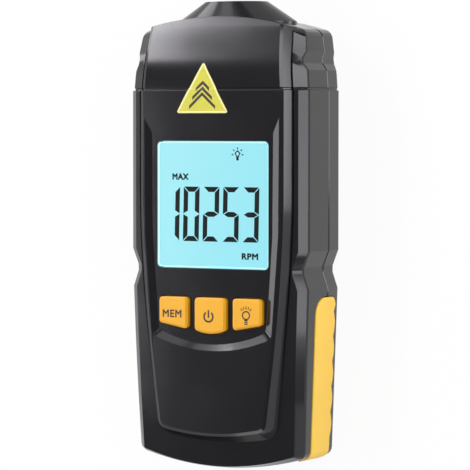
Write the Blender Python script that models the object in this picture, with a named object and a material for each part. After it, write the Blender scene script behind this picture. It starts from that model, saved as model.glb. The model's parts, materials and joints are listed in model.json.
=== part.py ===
"""Handheld optical tachometer, lying on its back.

The housing is two moulded shells with a raised centre panel. The long axis is Y with the
sensor hood at +Y, the display faces +Z, and the back lies on Z = 0. Lengths are in metres.
"""

import math

import bmesh
import bpy
from mathutils import Matrix, Vector

# Housing outline, seen from the front. The width and the length follow from the display's.
TAIL_TO_DISPLAY = 0.0568
DISPLAY_TO_SEAM = 0.0148
HEAD_LENGTH = 0.0203
HOOD_REACH = 0.0044
SIDE_BAND = 0.0059
HEAD_TAPER = 0.0021
HEAD_SAG = 0.0042
HEAD_CORNER = 0.0030
TAIL_TAPER = 0.0022
TAIL_SAG = 0.0039
TAIL_CORNER = 0.0026
WAIST_BELOW_DISPLAY = 0.0006
WAIST_DEPTH = 0.0017
WAIST_FLAT = 0.0018
WAIST_RUN = 0.0045
NOTCH_FROM_CORNER = 0.0053
NOTCH_DEPTH = 0.0010
NOTCH_FLAT = 0.0014
NOTCH_RUN = 0.0019
SEAM_STEP = 0.00035
SEAM_GROOVE = 0.0005
SEAM_WIDTH = 0.0004

# Housing section. The thickness follows from the battery and the display stack.
PARTING_Z = 0.0120
PARTING_GAP = 0.0003
PARTING_GROOVE = 0.00035
PARTING_GROOVE_REACH = 0.00045
REAR_CHAMFER = 0.0050
REAR_END_CHAMFER = 0.0030
REAR_CHAMFER_RISE = 0.0053
SIDE_DRAFT = 0.00015
SHOULDER = 0.0025
SHOULDER_DROP = 0.0022
TAIL_SHOULDER = 0.0007
HEAD_STRIP = 0.0014
HEAD_LEAN = 0.0036
TAIL_FALL = 0.0015
EDGE = 0.0004
WALL = 0.0022

# Raised centre panel
PANEL_RISE = 0.00295
PANEL_BEVEL = 0.0015
DISPLAY_MARGIN = 0.0050
PANEL_HEAD_NARROWING = 0.0015
PANEL_TAIL_NARROWING = 0.0061
PANEL_FROM_TAIL = 0.0098
PANEL_SAG = 0.0020
PANEL_CORNER = 0.0028
PANEL_GROOVE = 0.0005
PANEL_GROOVE_DEPTH = 0.0005
PANEL_EDGE = 0.0006

# Sloped recess round the display and the keys
RECESS_DEPTH = 0.00075
RECESS_RIM = 0.0011
RECESS_SLOPE = 0.0021
RECESS_ABOVE_DISPLAY = 0.0066
RECESS_RAMP = 0.0040
RECESS_BELOW_KEYS = 0.0031
RECESS_TAIL_SLOPE = 0.0017
RECESS_SAG = 0.0040
RECESS_CORNER = 0.0022

# Display stack
DISPLAY_SIZE = 0.0350
DISPLAY_CORNER = 0.0010
WINDOW_THICKNESS = 0.0005
GLASS_LIP = 0.0014
GLASS_THICKNESS = 0.0011
GLASS_RISE = 0.0021
GLASS_LEDGE = 0.0030
BACKLIGHT_THICKNESS = 0.0012
FRAME_WALL = 0.0010
ZEBRA_WIDTH = 0.0020

# Keys
KEY_ROW_INSET = 0.0012
KEY_GAP = 0.0023
POWER_WIDTH = 0.0098
KEY_LENGTH = 0.0073
KEY_SLANT = 0.0017
POWER_LENGTH = 0.0091
POWER_SAG = 0.0010
KEY_BELOW_DISPLAY = 0.0084
KEY_HEIGHT = 0.0015
KEY_CORNER = 0.0010
KEY_EDGE = 0.0004
KEY_FLANGE = 0.0008
KEY_TRAVEL = 0.0005
SWITCH_SIZE = 0.0060
SWITCH_HEIGHT = 0.0013
PLUNGER_RADIUS = 0.0016
PLUNGER_LENGTH = 0.0010
PLUNGER_SLACK = 0.0001

# Board
BOARD_THICKNESS = 0.0012
BOARD_BELOW_KEYS = 0.0045
BOARD_ABOVE_DISPLAY = 0.0100
BOARD_CORNER = 0.0020
CHIP_SIZE = 0.0120
CHIP_FROM_LEADS = 0.0060
CRYSTAL_FROM_CHIP = 0.0020
CHIP_HEIGHT = 0.0016
CRYSTAL_LENGTH = 0.0100
CRYSTAL_WIDTH = 0.0044
CRYSTAL_HEIGHT = 0.0034
BOARD_SCREW_SIDE = 0.0035
BOARD_SCREW_GAP = 0.00085
BOARD_SCREW_INSET = 0.0032
BOARD_SCREW_HEAD = 0.0021
BOARD_SCREW_SHANK = 0.0008
BOARD_SCREW_HEAD_HEIGHT = 0.0012
BOARD_SCREW_LENGTH = 0.0045
BOARD_BOSS_RADIUS = 0.0022

# Battery, its bay and its door
BATTERY_WIDTH = 0.0265
BATTERY_HEIGHT = 0.0175
BATTERY_LENGTH = 0.0465
BATTERY_EDGE = 0.0015
BATTERY_FROM_TAIL = 0.0072
TERMINAL_SPACING = 0.0127
TERMINAL_HEIGHT = 0.0020
SMALL_TERMINAL = 0.0029
LARGE_TERMINAL = 0.0039
SNAP_HEIGHT = 0.0120
SNAP_THICKNESS = 0.0040
LEAD_RADIUS = 0.00065
LEAD_SPACING = 0.0030
BAY_CLEARANCE = 0.0006
BAY_WALL = 0.0012
BAY_HEADROOM = 0.0034
BAY_CEILING = 0.0010
DOOR_THICKNESS = 0.0016
DOOR_HALF = 0.0152
DOOR_DOVETAIL = 0.0008
DOOR_OVERLAP = 0.0020
DOOR_LEDGE = 0.0015
DOOR_LEDGE_MARGIN = 0.0022
DOOR_TONGUE_HALF = 0.0040
DOOR_TONGUE_LENGTH = 0.0018
DOOR_TONGUE_THICKNESS = 0.0007
LEAD_SLOT_HALF = 0.0040
LEAD_SLOT_DEPTH = 0.0062
LEAD_LANDING = 0.0060
RIB_COUNT = 6
RIB_PITCH = 0.0022
RIB_WIDTH = 0.0009
RIB_DEPTH = 0.0005
RIB_HALF = 0.0060
RIB_FROM_END = 0.0050

# Case screws
SCREW_HEAD_RADIUS = 0.0022
SCREW_HEAD_HEIGHT = 0.0018
SCREW_RADIUS = 0.0011
SCREW_LENGTH = 0.0160
SCREW_SINK = 0.0040
CASE_BOSS_RADIUS = 0.0030
HEAD_SCREW_SIDE = 0.0084
HEAD_SCREW_FROM_HOOD = 0.0047
TAIL_SCREW_WALL = 0.0010
TAIL_SCREW_FROM_TAIL = 0.0125

# Sensor hood and optics
HOOD_LOW_Z = 0.0051
HOOD_BELOW_FACE = 0.0037
HOOD_TIP_HALF = 0.0096
HOOD_TIP_RISE = 0.0060
HOOD_BASE_HALF = 0.0187
HOOD_SLOPE = 0.0057
HOOD_NECK = 0.0040
HOOD_FLANGE = 0.0010
HOOD_FLANGE_THICKNESS = 0.0015
HOOD_WALL = 0.0016
HOOD_RIM = 0.0012
HOOD_LEDGE = 0.0010
HOOD_WINDOW_SINK = 0.0010
HOOD_WINDOW_THICKNESS = 0.0012
HOLDER_HALF = 0.0130
HOLDER_HEIGHT = 0.0130
HOLDER_LENGTH = 0.0140
HOLDER_TO_HOOD = 0.0005
OPTICS_SPACING = 0.0048
LASER_RADIUS = 0.0030
LASER_LENGTH = 0.0120
LASER_NOZZLE_RADIUS = 0.0022
LASER_NOZZLE_LENGTH = 0.0025
LENS_RADIUS = 0.0042
LENS_THICKNESS = 0.0024
DIODE_RADIUS = 0.0025
DIODE_LENGTH = 0.0050
OPTICS_STEP = 0.0060

# Grips
GRIP_BELOW_WAIST = 0.0077
GRIP_ABOVE_CHAMFER = 0.0019
GRIP_BELOW_CREASE = 0.0046
GRIP_TAIL_DROP = 0.0002
GRIP_FRONT_CORNER = 0.0050
GRIP_REAR_CORNER = 0.0024
GRIP_WRAP = 0.0058
GRIP_DEPTH = 0.0010
GRIP_PROUD = 0.00025
GRIP_SCALLOPS = 5
GRIP_FIRST_SCALLOP = 0.0042
GRIP_SCALLOPS_END = 0.0090
GRIP_SCALLOP_DEPTH = 0.0009

# Clearances
CLEARANCE = 0.0003
RIB_THICKNESS = 0.0012
ROOT = 0.0007

# Places that follow from the sizes above
BODY_LENGTH = TAIL_TO_DISPLAY + DISPLAY_SIZE + DISPLAY_TO_SEAM + HEAD_LENGTH
PANEL_HALF = DISPLAY_SIZE / 2 + DISPLAY_MARGIN
HALF_WIDTH = PANEL_HALF + SIDE_BAND
TAIL_Y = -(BODY_LENGTH + HOOD_REACH) / 2
HEAD_Y = TAIL_Y + BODY_LENGTH
HOOD_TIP_Y = HEAD_Y + HOOD_REACH
SEAM_Y = HEAD_Y - HEAD_LENGTH
WAIST_Y = TAIL_Y + TAIL_TO_DISPLAY - WAIST_BELOW_DISPLAY
NOTCH_Y = HEAD_Y - HEAD_SAG - HEAD_CORNER - NOTCH_FROM_CORNER
DISPLAY_Y = TAIL_Y + TAIL_TO_DISPLAY + DISPLAY_SIZE / 2
KEY_TOP_Y = DISPLAY_Y - DISPLAY_SIZE / 2 - KEY_BELOW_DISPLAY
RECESS_TOP_Y = DISPLAY_Y + DISPLAY_SIZE / 2 + RECESS_ABOVE_DISPLAY
RECESS_TAIL_Y = KEY_TOP_Y - POWER_LENGTH - POWER_SAG - RECESS_BELOW_KEYS
BATTERY_Z = DOOR_THICKNESS + CLEARANCE
BAY_TOP_Z = BATTERY_Z + BATTERY_HEIGHT + CLEARANCE
BOARD_LOW_Z = BAY_TOP_Z + BAY_CEILING + CLEARANCE
BOARD_TOP_Z = BOARD_LOW_Z + BOARD_THICKNESS
BACKLIGHT_Z = BOARD_TOP_Z + CLEARANCE
GLASS_Z = BACKLIGHT_Z + BACKLIGHT_THICKNESS + CLEARANCE
GLASS_TOP_Z = GLASS_Z + GLASS_THICKNESS + GLASS_RISE
FLOOR_Z = GLASS_TOP_Z + CLEARANCE + WINDOW_THICKNESS
ROOF_Z = FLOOR_Z - WALL
THICKNESS = FLOOR_Z + RECESS_DEPTH
FACE_Z = THICKNESS - PANEL_RISE
CREASE_Z = FACE_Z - SHOULDER_DROP
BATTERY_TAIL_Y = TAIL_Y + BATTERY_FROM_TAIL
BATTERY_HEAD_Y = BATTERY_TAIL_Y + BATTERY_LENGTH
BAY_TAIL_Y = BATTERY_TAIL_Y - BAY_CLEARANCE
SNAP_Y = BATTERY_HEAD_Y + CLEARANCE
BAY_HEAD_Y = SNAP_Y + SNAP_THICKNESS + BAY_HEADROOM
BAY_HALF = BATTERY_WIDTH / 2 + BAY_CLEARANCE
DOOR_HEAD_Y = BAY_HEAD_Y + DOOR_OVERLAP
LEAD_WALL_Y = BAY_HEAD_Y + BAY_WALL / 2
LEAD_LANDING_Y = LEAD_WALL_Y + LEAD_LANDING
CHIP_Y = LEAD_LANDING_Y + CHIP_FROM_LEADS
HOOD_BASE_Y = HOOD_TIP_Y - HOOD_SLOPE
HOOD_FLANGE_Y = HOOD_BASE_Y - HOOD_NECK
HOOD_TAIL_Y = HOOD_FLANGE_Y - HOOD_FLANGE_THICKNESS
HOLDER_HEAD_Y = HOOD_TAIL_Y - HOLDER_TO_HOOD
HOLDER_TAIL_Y = HOLDER_HEAD_Y - HOLDER_LENGTH
GLASS_HALF = DISPLAY_SIZE / 2 + GLASS_LIP
SWITCH_Z = BOARD_TOP_Z + CLEARANCE
PLUNGER_TOP_Z = SWITCH_Z + SWITCH_HEIGHT + KEY_TRAVEL
KEY_LOW_Z = PLUNGER_TOP_Z + CLEARANCE
KEY_TOP_Z = FLOOR_Z + KEY_HEIGHT
KEY_WIDTH = (DISPLAY_SIZE - POWER_WIDTH) / 2 - KEY_ROW_INSET - KEY_GAP
KEY_SPACING = (POWER_WIDTH + KEY_WIDTH) / 2 + KEY_GAP
KEY_CENTRE_Y = KEY_TOP_Y - (KEY_LENGTH + KEY_SLANT) / 2
BOARD_TAIL_Y = KEY_TOP_Y - POWER_LENGTH - POWER_SAG - BOARD_BELOW_KEYS
BOARD_HEAD_Y = DISPLAY_Y + DISPLAY_SIZE / 2 + BOARD_ABOVE_DISPLAY
BOARD_SCREW_X = BAY_HALF + BAY_WALL + BOARD_SCREW_GAP + BOARD_SCREW_HEAD
BOARD_HALF = BOARD_SCREW_X + BOARD_SCREW_SIDE
HEAD_SCREW_X = HALF_WIDTH - HEAD_SCREW_SIDE
TAIL_SCREW_X = (DOOR_HALF + DOOR_DOVETAIL + TAIL_SCREW_WALL + SCREW_HEAD_RADIUS
                + 2 * CLEARANCE)
GRIP_TOP_Y = WAIST_Y - GRIP_BELOW_WAIST
GRIP_LOW_Z = REAR_CHAMFER_RISE + GRIP_ABOVE_CHAMFER
GRIP_HIGH_Z = CREASE_Z - GRIP_BELOW_CREASE
GRIP_SCALLOPED = GRIP_TOP_Y - TAIL_Y - GRIP_FIRST_SCALLOP - GRIP_SCALLOPS_END
GRIP_PITCH = GRIP_SCALLOPED / GRIP_SCALLOPS
HOOD_BASE_RISE = (FACE_Z - HOOD_BELOW_FACE - HOOD_LOW_Z) / 2
HOOD_Z = HOOD_LOW_Z + HOOD_BASE_RISE
OPTICS_LOW_Z = HOOD_Z - HOLDER_HEIGHT / 2
OPTICS_HIGH_Z = HOOD_Z + HOLDER_HEIGHT / 2
CASE_SCREWS = (
    (HEAD_SCREW_X, HOOD_TAIL_Y - HEAD_SCREW_FROM_HOOD),
    (-HEAD_SCREW_X, HOOD_TAIL_Y - HEAD_SCREW_FROM_HOOD),
    (TAIL_SCREW_X, TAIL_Y + TAIL_SCREW_FROM_TAIL),
    (-TAIL_SCREW_X, TAIL_Y + TAIL_SCREW_FROM_TAIL),
)
BOARD_SCREWS = (
    (BOARD_SCREW_X, BOARD_HEAD_Y - BOARD_SCREW_INSET),
    (-BOARD_SCREW_X, BOARD_HEAD_Y - BOARD_SCREW_INSET),
    (BOARD_SCREW_X, BOARD_TAIL_Y + BOARD_SCREW_INSET),
    (-BOARD_SCREW_X, BOARD_TAIL_Y + BOARD_SCREW_INSET),
)

# How the forms are drawn
PAST = 0.004
PANEL_ROOT = 0.5
SLANT = 0.6
SLOPE = math.sqrt(0.5)
SHARPEST_CORNER = 0.0005
TAIL_STATIONS = (0.22, 0.37, 0.52, 0.67, 0.8)
ROUND = 24

PARTS = "tachometer"
CUTTERS = "tachometer cutters"


def clear_scene():
    """Start from an empty file with one collection for the parts and one for the cutters."""
    for item in list(bpy.data.objects):
        bpy.data.objects.remove(item, do_unlink=True)
    for name in (PARTS, CUTTERS):
        collection = bpy.data.collections.new(name)
        bpy.context.scene.collection.children.link(collection)


def material(name, color, roughness, metallic=0.0, alpha=1.0):
    """A Principled BSDF with one colour."""
    result = bpy.data.materials.new(name)
    result.use_nodes = True
    shader = result.node_tree.nodes["Principled BSDF"]
    shader.inputs["Base Color"].default_value = (*color, 1.0)
    shader.inputs["Roughness"].default_value = roughness
    shader.inputs["Metallic"].default_value = metallic
    shader.inputs["Alpha"].default_value = alpha
    result.diffuse_color = (*color, alpha)
    return result


def add_object(name, bm, finish=None, origin=(0, 0, 0)):
    """Turn a bmesh into an object whose origin lies at the given place.

    With a finish it is a part, and without one it is a cutter that stays hidden in renders.
    """
    bmesh.ops.recalc_face_normals(bm, faces=bm.faces)
    bmesh.ops.translate(bm, vec=-Vector(origin), verts=bm.verts)
    mesh = bpy.data.meshes.new(name)
    bm.to_mesh(mesh)
    bm.free()
    result = bpy.data.objects.new(name, mesh)
    result.location = origin
    if finish is None:
        bpy.data.collections[CUTTERS].objects.link(result)
        result.hide_render = True
        result.display_type = "WIRE"
    else:
        bpy.data.collections[PARTS].objects.link(result)
        mesh.materials.append(finish)
    return result


def boolean(target, tool, operation="DIFFERENCE"):
    """Cut, join or intersect the target with a tool that stays in the cutters' collection."""
    modifier = target.modifiers.new(tool.name, "BOOLEAN")
    modifier.operation = operation
    modifier.object = tool
    modifier.solver = "EXACT"


def cube_mesh(low, high):
    """A box between two corners."""
    bm = bmesh.new()
    low = Vector(low)
    high = Vector(high)
    size = Matrix.Diagonal(high - low).to_4x4()
    bmesh.ops.create_cube(bm, size=1.0, matrix=Matrix.Translation((low + high) / 2) @ size)
    return bm


def rod_mesh(centre, radius, length, axis="Z", far_radius=None, segments=ROUND):
    """A cylinder, or a cone where far_radius is given, that starts at centre and runs along +axis."""
    bm = bmesh.new()
    turn = {
        "X": Matrix.Rotation(math.pi / 2, 4, "Y"),
        "Y": Matrix.Rotation(-math.pi / 2, 4, "X"),
        "Z": Matrix.Identity(4),
    }[axis]
    bmesh.ops.create_cone(
        bm,
        cap_ends=True,
        segments=segments,
        radius1=radius,
        radius2=radius if far_radius is None else far_radius,
        depth=length,
        matrix=Matrix.Translation(centre) @ turn @ Matrix.Translation((0, 0, length / 2)),
    )
    return bm


def join_meshes(meshes):
    """Copy several bmeshes that don't touch into one, for use as one cutter."""
    result = bmesh.new()
    for part in meshes:
        scratch = bpy.data.meshes.new("scratch")
        part.to_mesh(scratch)
        part.free()
        result.from_mesh(scratch)
        bpy.data.meshes.remove(scratch)
    return result


def prism_mesh(outline, low, high, axis="Z"):
    """Extrude a flat outline from low to high along an axis.

    The outline's pairs are (x, y) for axis Z, (x, z) for axis Y and (y, z) for axis X.
    """
    place = {
        "Z": lambda a, b: (a, b, low),
        "Y": lambda a, b: (a, low, b),
        "X": lambda a, b: (low, a, b),
    }[axis]
    rise = {"Z": (0, 0, 1), "Y": (0, 1, 0), "X": (1, 0, 0)}[axis]
    bm = bmesh.new()
    face = bm.faces.new([bm.verts.new(place(a, b)) for a, b in outline])
    grown = bmesh.ops.extrude_face_region(bm, geom=[face])
    moved = [item for item in grown["geom"] if isinstance(item, bmesh.types.BMVert)]
    bmesh.ops.translate(bm, vec=Vector(rise) * (high - low), verts=moved)
    return bm


def rounded(corners, radius, steps=4):
    """Replace each corner of a convex outline by an arc."""
    points = []
    count = len(corners)
    for index, corner in enumerate(corners):
        corner = Vector(corner)
        before = (Vector(corners[index - 1]) - corner).normalized()
        after = (Vector(corners[(index + 1) % count]) - corner).normalized()
        half_angle = before.angle(after) / 2
        centre = corner + (before + after).normalized() * (radius / math.sin(half_angle))
        start = corner + before * (radius / math.tan(half_angle)) - centre
        end = corner + after * (radius / math.tan(half_angle)) - centre
        sweep = start.angle_signed(end)
        for step in range(steps + 1):
            turned = Matrix.Rotation(-sweep * step / steps, 2) @ start
            points.append(tuple(centre + turned))
    return points


def rectangle(half_width, low, high):
    """Corners of a rectangle that is centred on the first axis, counterclockwise."""
    return [(-half_width, low), (half_width, low), (half_width, high), (-half_width, high)]


def loft_rings(rings):
    """A closed solid through rings of equally many points, capped at both ends."""
    bm = bmesh.new()
    loops = [[bm.verts.new(point) for point in ring] for ring in rings]
    for lower, upper in zip(loops, loops[1:]):
        count = len(lower)
        for index in range(count):
            following = (index + 1) % count
            bm.faces.new((lower[index], lower[following], upper[following], upper[index]))
    bm.faces.new(loops[0])
    bm.faces.new(loops[-1])
    return bm


def loft_half(rings):
    """A solid that is symmetric about X = 0, from the +X halves of its rings.

    Each half ring runs from the centre plane at the tail to the centre plane at the head. The
    first and last are closed by strips to the centre plane, so that a cap may bend along Y.
    """
    bm = bmesh.new()
    loops = [[bm.verts.new(point) for point in ring] for ring in rings]
    for lower, upper in zip(loops, loops[1:]):
        for index in range(len(lower) - 1):
            bm.faces.new((lower[index], lower[index + 1], upper[index + 1], upper[index]))
    for loop in (loops[0], loops[-1]):
        middle = [loop[0]]
        middle += [bm.verts.new((0, vert.co.y, vert.co.z)) for vert in loop[1:-1]]
        middle.append(loop[-1])
        for index in range(len(loop) - 1):
            corners = [loop[index], loop[index + 1], middle[index + 1], middle[index]]
            bm.faces.new(list(dict.fromkeys(corners)))
    whole = bm.verts[:] + bm.edges[:] + bm.faces[:]
    bmesh.ops.mirror(bm, geom=whole, axis="X", merge_dist=0.000001)
    return bm


def dip(y, centre, flat, run):
    """1 on a flat stretch round the centre, falling to 0 over a run at each side."""
    return min(max((flat / 2 + run - abs(y - centre)) / run, 0.0), 1.0)


def seam_inset(y):
    """How far the outer surface lies inside the body at the seam and on the head."""
    inset = SEAM_GROOVE * dip(y, SEAM_Y, SEAM_WIDTH, SEAM_WIDTH / 2)
    if y > SEAM_Y:
        inset = max(inset, SEAM_STEP)
    return inset


def side_half(y):
    """Half of the housing's width at the parting line."""
    half = HALF_WIDTH - seam_inset(y)
    if y > SEAM_Y:
        half -= HEAD_TAPER * ((y - SEAM_Y) / (HEAD_LENGTH - HEAD_SAG)) ** 1.5
    taper_start = WAIST_Y + WAIST_RUN
    if y < taper_start:
        half -= TAIL_TAPER * ((taper_start - y) / (taper_start - TAIL_Y)) ** 1.2
    return half - WAIST_DEPTH * dip(y, WAIST_Y, WAIST_FLAT, WAIST_RUN)


def notch(y):
    """Depth of the finger notch in the head's upright sides."""
    return NOTCH_DEPTH * dip(y, NOTCH_Y, NOTCH_FLAT, NOTCH_RUN)


def head_lean(y):
    """How far the front of the head leans back."""
    return HEAD_LEAN * (max(y - SEAM_Y, 0.0) / HEAD_LENGTH) ** 2 + seam_inset(y)


def front_drop(y):
    """How far the shoulders lie below their height at mid body."""
    tail = max(WAIST_Y - y, 0.0) / (WAIST_Y - TAIL_Y)
    return head_lean(y) + TAIL_FALL * tail ** 2


def crease_drop(y):
    """The fall of the crease, which climbs the shoulder where the notch cuts it back."""
    return front_drop(y) - notch(y) * SHOULDER_DROP / SHOULDER


def rear_drop(y):
    """The fall of the rear chamfer's upper edge where the notch cuts it back."""
    return notch(y) * REAR_CHAMFER_RISE / REAR_CHAMFER


def end_curve(tip_y, toward, sag, half, corner, steps=7, corner_steps=4):
    """Points from the centre plane round an arched end and its corner to the side.

    toward is 1 at the head and -1 at the tail.
    """
    def arc(x):
        return tip_y - toward * sag * (x / half) ** 2

    def slope(x):
        return math.atan(2 * sag * x / half ** 2)

    tangent_x = half - corner + corner * math.sin(slope(half))
    points = []
    for step in range(steps + 1):
        x = tangent_x * step / steps
        points.append((x, arc(x)))
    centre_y = arc(tangent_x) - toward * corner * math.cos(slope(tangent_x))
    first = math.pi / 2 - slope(tangent_x)
    for step in range(1, corner_steps + 1):
        angle = first * (1 - step / corner_steps)
        across = half - corner + corner * math.cos(angle)
        points.append((across, centre_y + toward * corner * math.sin(angle)))
    return points


def housing_outline(side, tail, head, head_side=None, notched=False):
    """Half of the housing's outline, moved inwards at the side, the tail and the head.

    head_side is the side's inset beyond the seam, where it differs. The notch is in the outlines
    of the upright sides alone.
    """
    if head_side is None:
        head_side = side
    tail_half = side_half(TAIL_Y + TAIL_SAG + TAIL_CORNER) - side
    head_half = side_half(HEAD_Y - HEAD_SAG - HEAD_CORNER) - head_side
    tail_corner = max(TAIL_CORNER - side, SHARPEST_CORNER)
    head_corner = max(HEAD_CORNER - head_side, SHARPEST_CORNER)
    tail_points = end_curve(TAIL_Y + tail, -1, TAIL_SAG, tail_half, tail_corner)
    head_points = end_curve(HEAD_Y - head, 1, HEAD_SAG, head_half, head_corner)
    stations = [TAIL_Y + (WAIST_Y - TAIL_Y) * share for share in TAIL_STATIONS]
    features = (
        (WAIST_Y, WAIST_FLAT, WAIST_RUN),
        (SEAM_Y, SEAM_WIDTH, SEAM_WIDTH / 2),
        (NOTCH_Y, NOTCH_FLAT, NOTCH_RUN),
    )
    for centre, flat, run in features:
        stations += [centre - flat / 2 - run, centre - flat / 2]
        stations += [centre + flat / 2, centre + flat / 2 + run]
    stations += [(WAIST_Y + SEAM_Y) / 2, (SEAM_Y + NOTCH_Y) / 2]
    sides = []
    for y in sorted(stations):
        half = side_half(y) - (notch(y) if notched else 0.0)
        sides.append((half - (head_side if y > SEAM_Y else side), y))
    return tail_points + sides + head_points[::-1]


def ring(outline, height, drop=None):
    """One half ring of a loft: an outline set at a height that may fall along Y."""
    return [(x, y, height - drop(y) if drop else height) for x, y in outline]


def housing_form(inset, edge=0.0):
    """The housing without its panel, moved inwards all round by the inset.

    With an edge, each ridge that runs round the housing is cut back to a narrow facet.
    """
    chamfer = REAR_CHAMFER + inset * SLANT
    end_chamfer = REAR_END_CHAMFER + inset * SLANT
    draft = SIDE_DRAFT + inset
    shoulder = SHOULDER + inset * SLANT
    tail_shoulder = TAIL_SHOULDER + inset * SLANT
    slope = edge * SLOPE
    groove, reach = (PARTING_GROOVE, PARTING_GROOVE_REACH) if edge else (0.0, 0.0)
    inside = inset + groove
    sections = [
        ((chamfer + edge, end_chamfer + edge, end_chamfer + edge), max(inset, 0.0), None, False),
        ((chamfer - slope, end_chamfer - slope, end_chamfer - slope), max(inset, 0.0) + slope, None, False),
        ((draft + slope, draft + slope, inset + slope), REAR_CHAMFER_RISE - slope, rear_drop, True),
        ((draft, draft, inset), REAR_CHAMFER_RISE + edge, rear_drop, True),
        ((inset, inset, inset), PARTING_Z - reach, None, True),
        ((inside, inside, inside), PARTING_Z, None, True),
        ((inset, inset, inset), PARTING_Z + reach, None, True),
        ((draft, draft, inset), CREASE_Z - edge, crease_drop, True),
        ((draft + slope, draft + slope, inset), CREASE_Z + slope, crease_drop, True),
        ((shoulder, tail_shoulder, inset, shoulder + HEAD_STRIP), FACE_Z - inset, front_drop, False),
    ]
    return loft_half([ring(housing_outline(*insets, notched=notched), height, drop)
                      for insets, height, drop, notched in dict.fromkeys(sections)])


def panel_half(y):
    """Half of the raised panel's width at its top edge."""
    if y > SEAM_Y:
        head = (y - SEAM_Y) / HEAD_LENGTH
        return PANEL_HALF - seam_inset(y) - PANEL_HEAD_NARROWING * head
    narrow_start = DISPLAY_Y
    if y > narrow_start:
        return PANEL_HALF - seam_inset(y)
    panel_tail_y = TAIL_Y + PANEL_FROM_TAIL
    share = (narrow_start - y) / (narrow_start - panel_tail_y)
    return PANEL_HALF - PANEL_TAIL_NARROWING * share ** 1.6


def panel_outline(inset=0.0):
    """Half of the panel's outline at its top edge, moved inwards and run past the head."""
    tail_y = TAIL_Y + PANEL_FROM_TAIL + inset
    corner = max(PANEL_CORNER - inset, SHARPEST_CORNER)
    tail_half = panel_half(tail_y + PANEL_SAG + corner) - inset
    tail = end_curve(tail_y, -1, PANEL_SAG, tail_half, corner, steps=5)
    narrow = DISPLAY_Y - TAIL_Y - PANEL_FROM_TAIL
    stations = [DISPLAY_Y - narrow * share for share in (0.8, 0.65, 0.5, 0.35, 0.2, 0.1, 0.0)]
    stations += [SEAM_Y - SEAM_WIDTH, SEAM_Y - SEAM_WIDTH / 2]
    stations += [SEAM_Y + SEAM_WIDTH / 2, SEAM_Y + SEAM_WIDTH]
    stations += [SEAM_Y + HEAD_LENGTH * share for share in (0.25, 0.5, 0.7, 0.85, 1.0)]
    sides = [(panel_half(y) - inset, y) for y in stations]
    return tail + sides + [(sides[-1][0], HEAD_Y + PAST), (0.0, HEAD_Y + PAST)]


def panel_form(sections):
    """A form with the panel's outline, through pairs of height and inset. It runs past the head."""
    return loft_half([ring(panel_outline(inset), height, head_lean) for height, inset in sections])


def plan_form(inset):
    """An upright prism with the housing's outline, for trimming what runs past the head."""
    outline = housing_outline(inset, inset, inset)
    return loft_half([ring(outline, -PAST), ring(outline, THICKNESS + PAST)])


def recess_outline(side, tail, head):
    """Half of the recess's outline, moved outwards from its floor."""
    tail_y = RECESS_TAIL_Y - tail
    head_y = RECESS_TOP_Y - RECESS_RAMP + head
    rim = RECESS_RIM + RECESS_SLOPE - side
    corner_y = tail_y + RECESS_SAG + RECESS_CORNER
    points = end_curve(tail_y, -1, RECESS_SAG, panel_half(corner_y) - rim, RECESS_CORNER)
    for share in (0.15, 0.3, 0.45, 0.6, 0.8, 1.0):
        y = corner_y + (head_y - corner_y) * share
        points.append((panel_half(y) - rim, y))
    return points + [(0.0, head_y)]


def recess_form():
    """The shallow recess with sloped walls that holds the display and the keys."""
    return loft_half([
        ring(recess_outline(0.0, 0.0, 0.0), FLOOR_Z),
        ring(recess_outline(2 * RECESS_SLOPE, 2 * RECESS_TAIL_SLOPE, 2 * RECESS_RAMP),
             FLOOR_Z + 2 * RECESS_DEPTH),
    ])


def ellipse_ring(y, half_width, half_height, segments=32):
    """A ring of points on an ellipse about the hood's axis."""
    angles = [2 * math.pi * index / segments for index in range(segments)]
    return [(half_width * math.cos(a), y, HOOD_Z + half_height * math.sin(a)) for a in angles]


def hood_rings(grow=0.0):
    """The hood's outer form, from behind its flange's seat to its tip."""
    return [
        ellipse_ring(HOOD_FLANGE_Y, HOOD_BASE_HALF + grow, HOOD_BASE_RISE + grow),
        ellipse_ring(HOOD_BASE_Y, HOOD_BASE_HALF + grow, HOOD_BASE_RISE + grow),
        ellipse_ring(HOOD_TIP_Y, HOOD_TIP_HALF + grow, HOOD_TIP_RISE + grow),
    ]


def grip_outline(grow):
    """The grip's outline in Y and Z, with a scalloped rear edge."""
    top = GRIP_TOP_Y + grow
    low = GRIP_LOW_Z - grow
    high = GRIP_HIGH_Z + grow
    tail = TAIL_Y - PAST
    front = GRIP_FRONT_CORNER + grow
    rear = GRIP_REAR_CORNER + grow
    points = [(tail, high - GRIP_TAIL_DROP)]
    for corner, centre_z, start in ((front, high - front, 90), (rear, low + rear, 0)):
        for step in range(5):
            angle = math.radians(start - 22.5 * step)
            points.append((top - corner + corner * math.cos(angle),
                           centre_z + corner * math.sin(angle)))
    first = GRIP_TOP_Y - GRIP_FIRST_SCALLOP
    for scallop in range(GRIP_SCALLOPS):
        for step in range(5):
            y = first - GRIP_PITCH * (scallop + step / 5)
            points.append((y, low + GRIP_SCALLOP_DEPTH * (1 - math.sin(math.pi * step / 5))))
    points.append((first - GRIP_PITCH * GRIP_SCALLOPS, low + GRIP_SCALLOP_DEPTH))
    points.append((tail, low + GRIP_SCALLOP_DEPTH))
    return points


def grip_block(side, grow):
    """The grip's outline as a block through the housing's side. side is 1 or -1."""
    near = side * (HALF_WIDTH - GRIP_WRAP - grow)
    far = side * (HALF_WIDTH + PAST)
    return prism_mesh(grip_outline(grow), min(near, far), max(near, far), "X")


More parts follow.
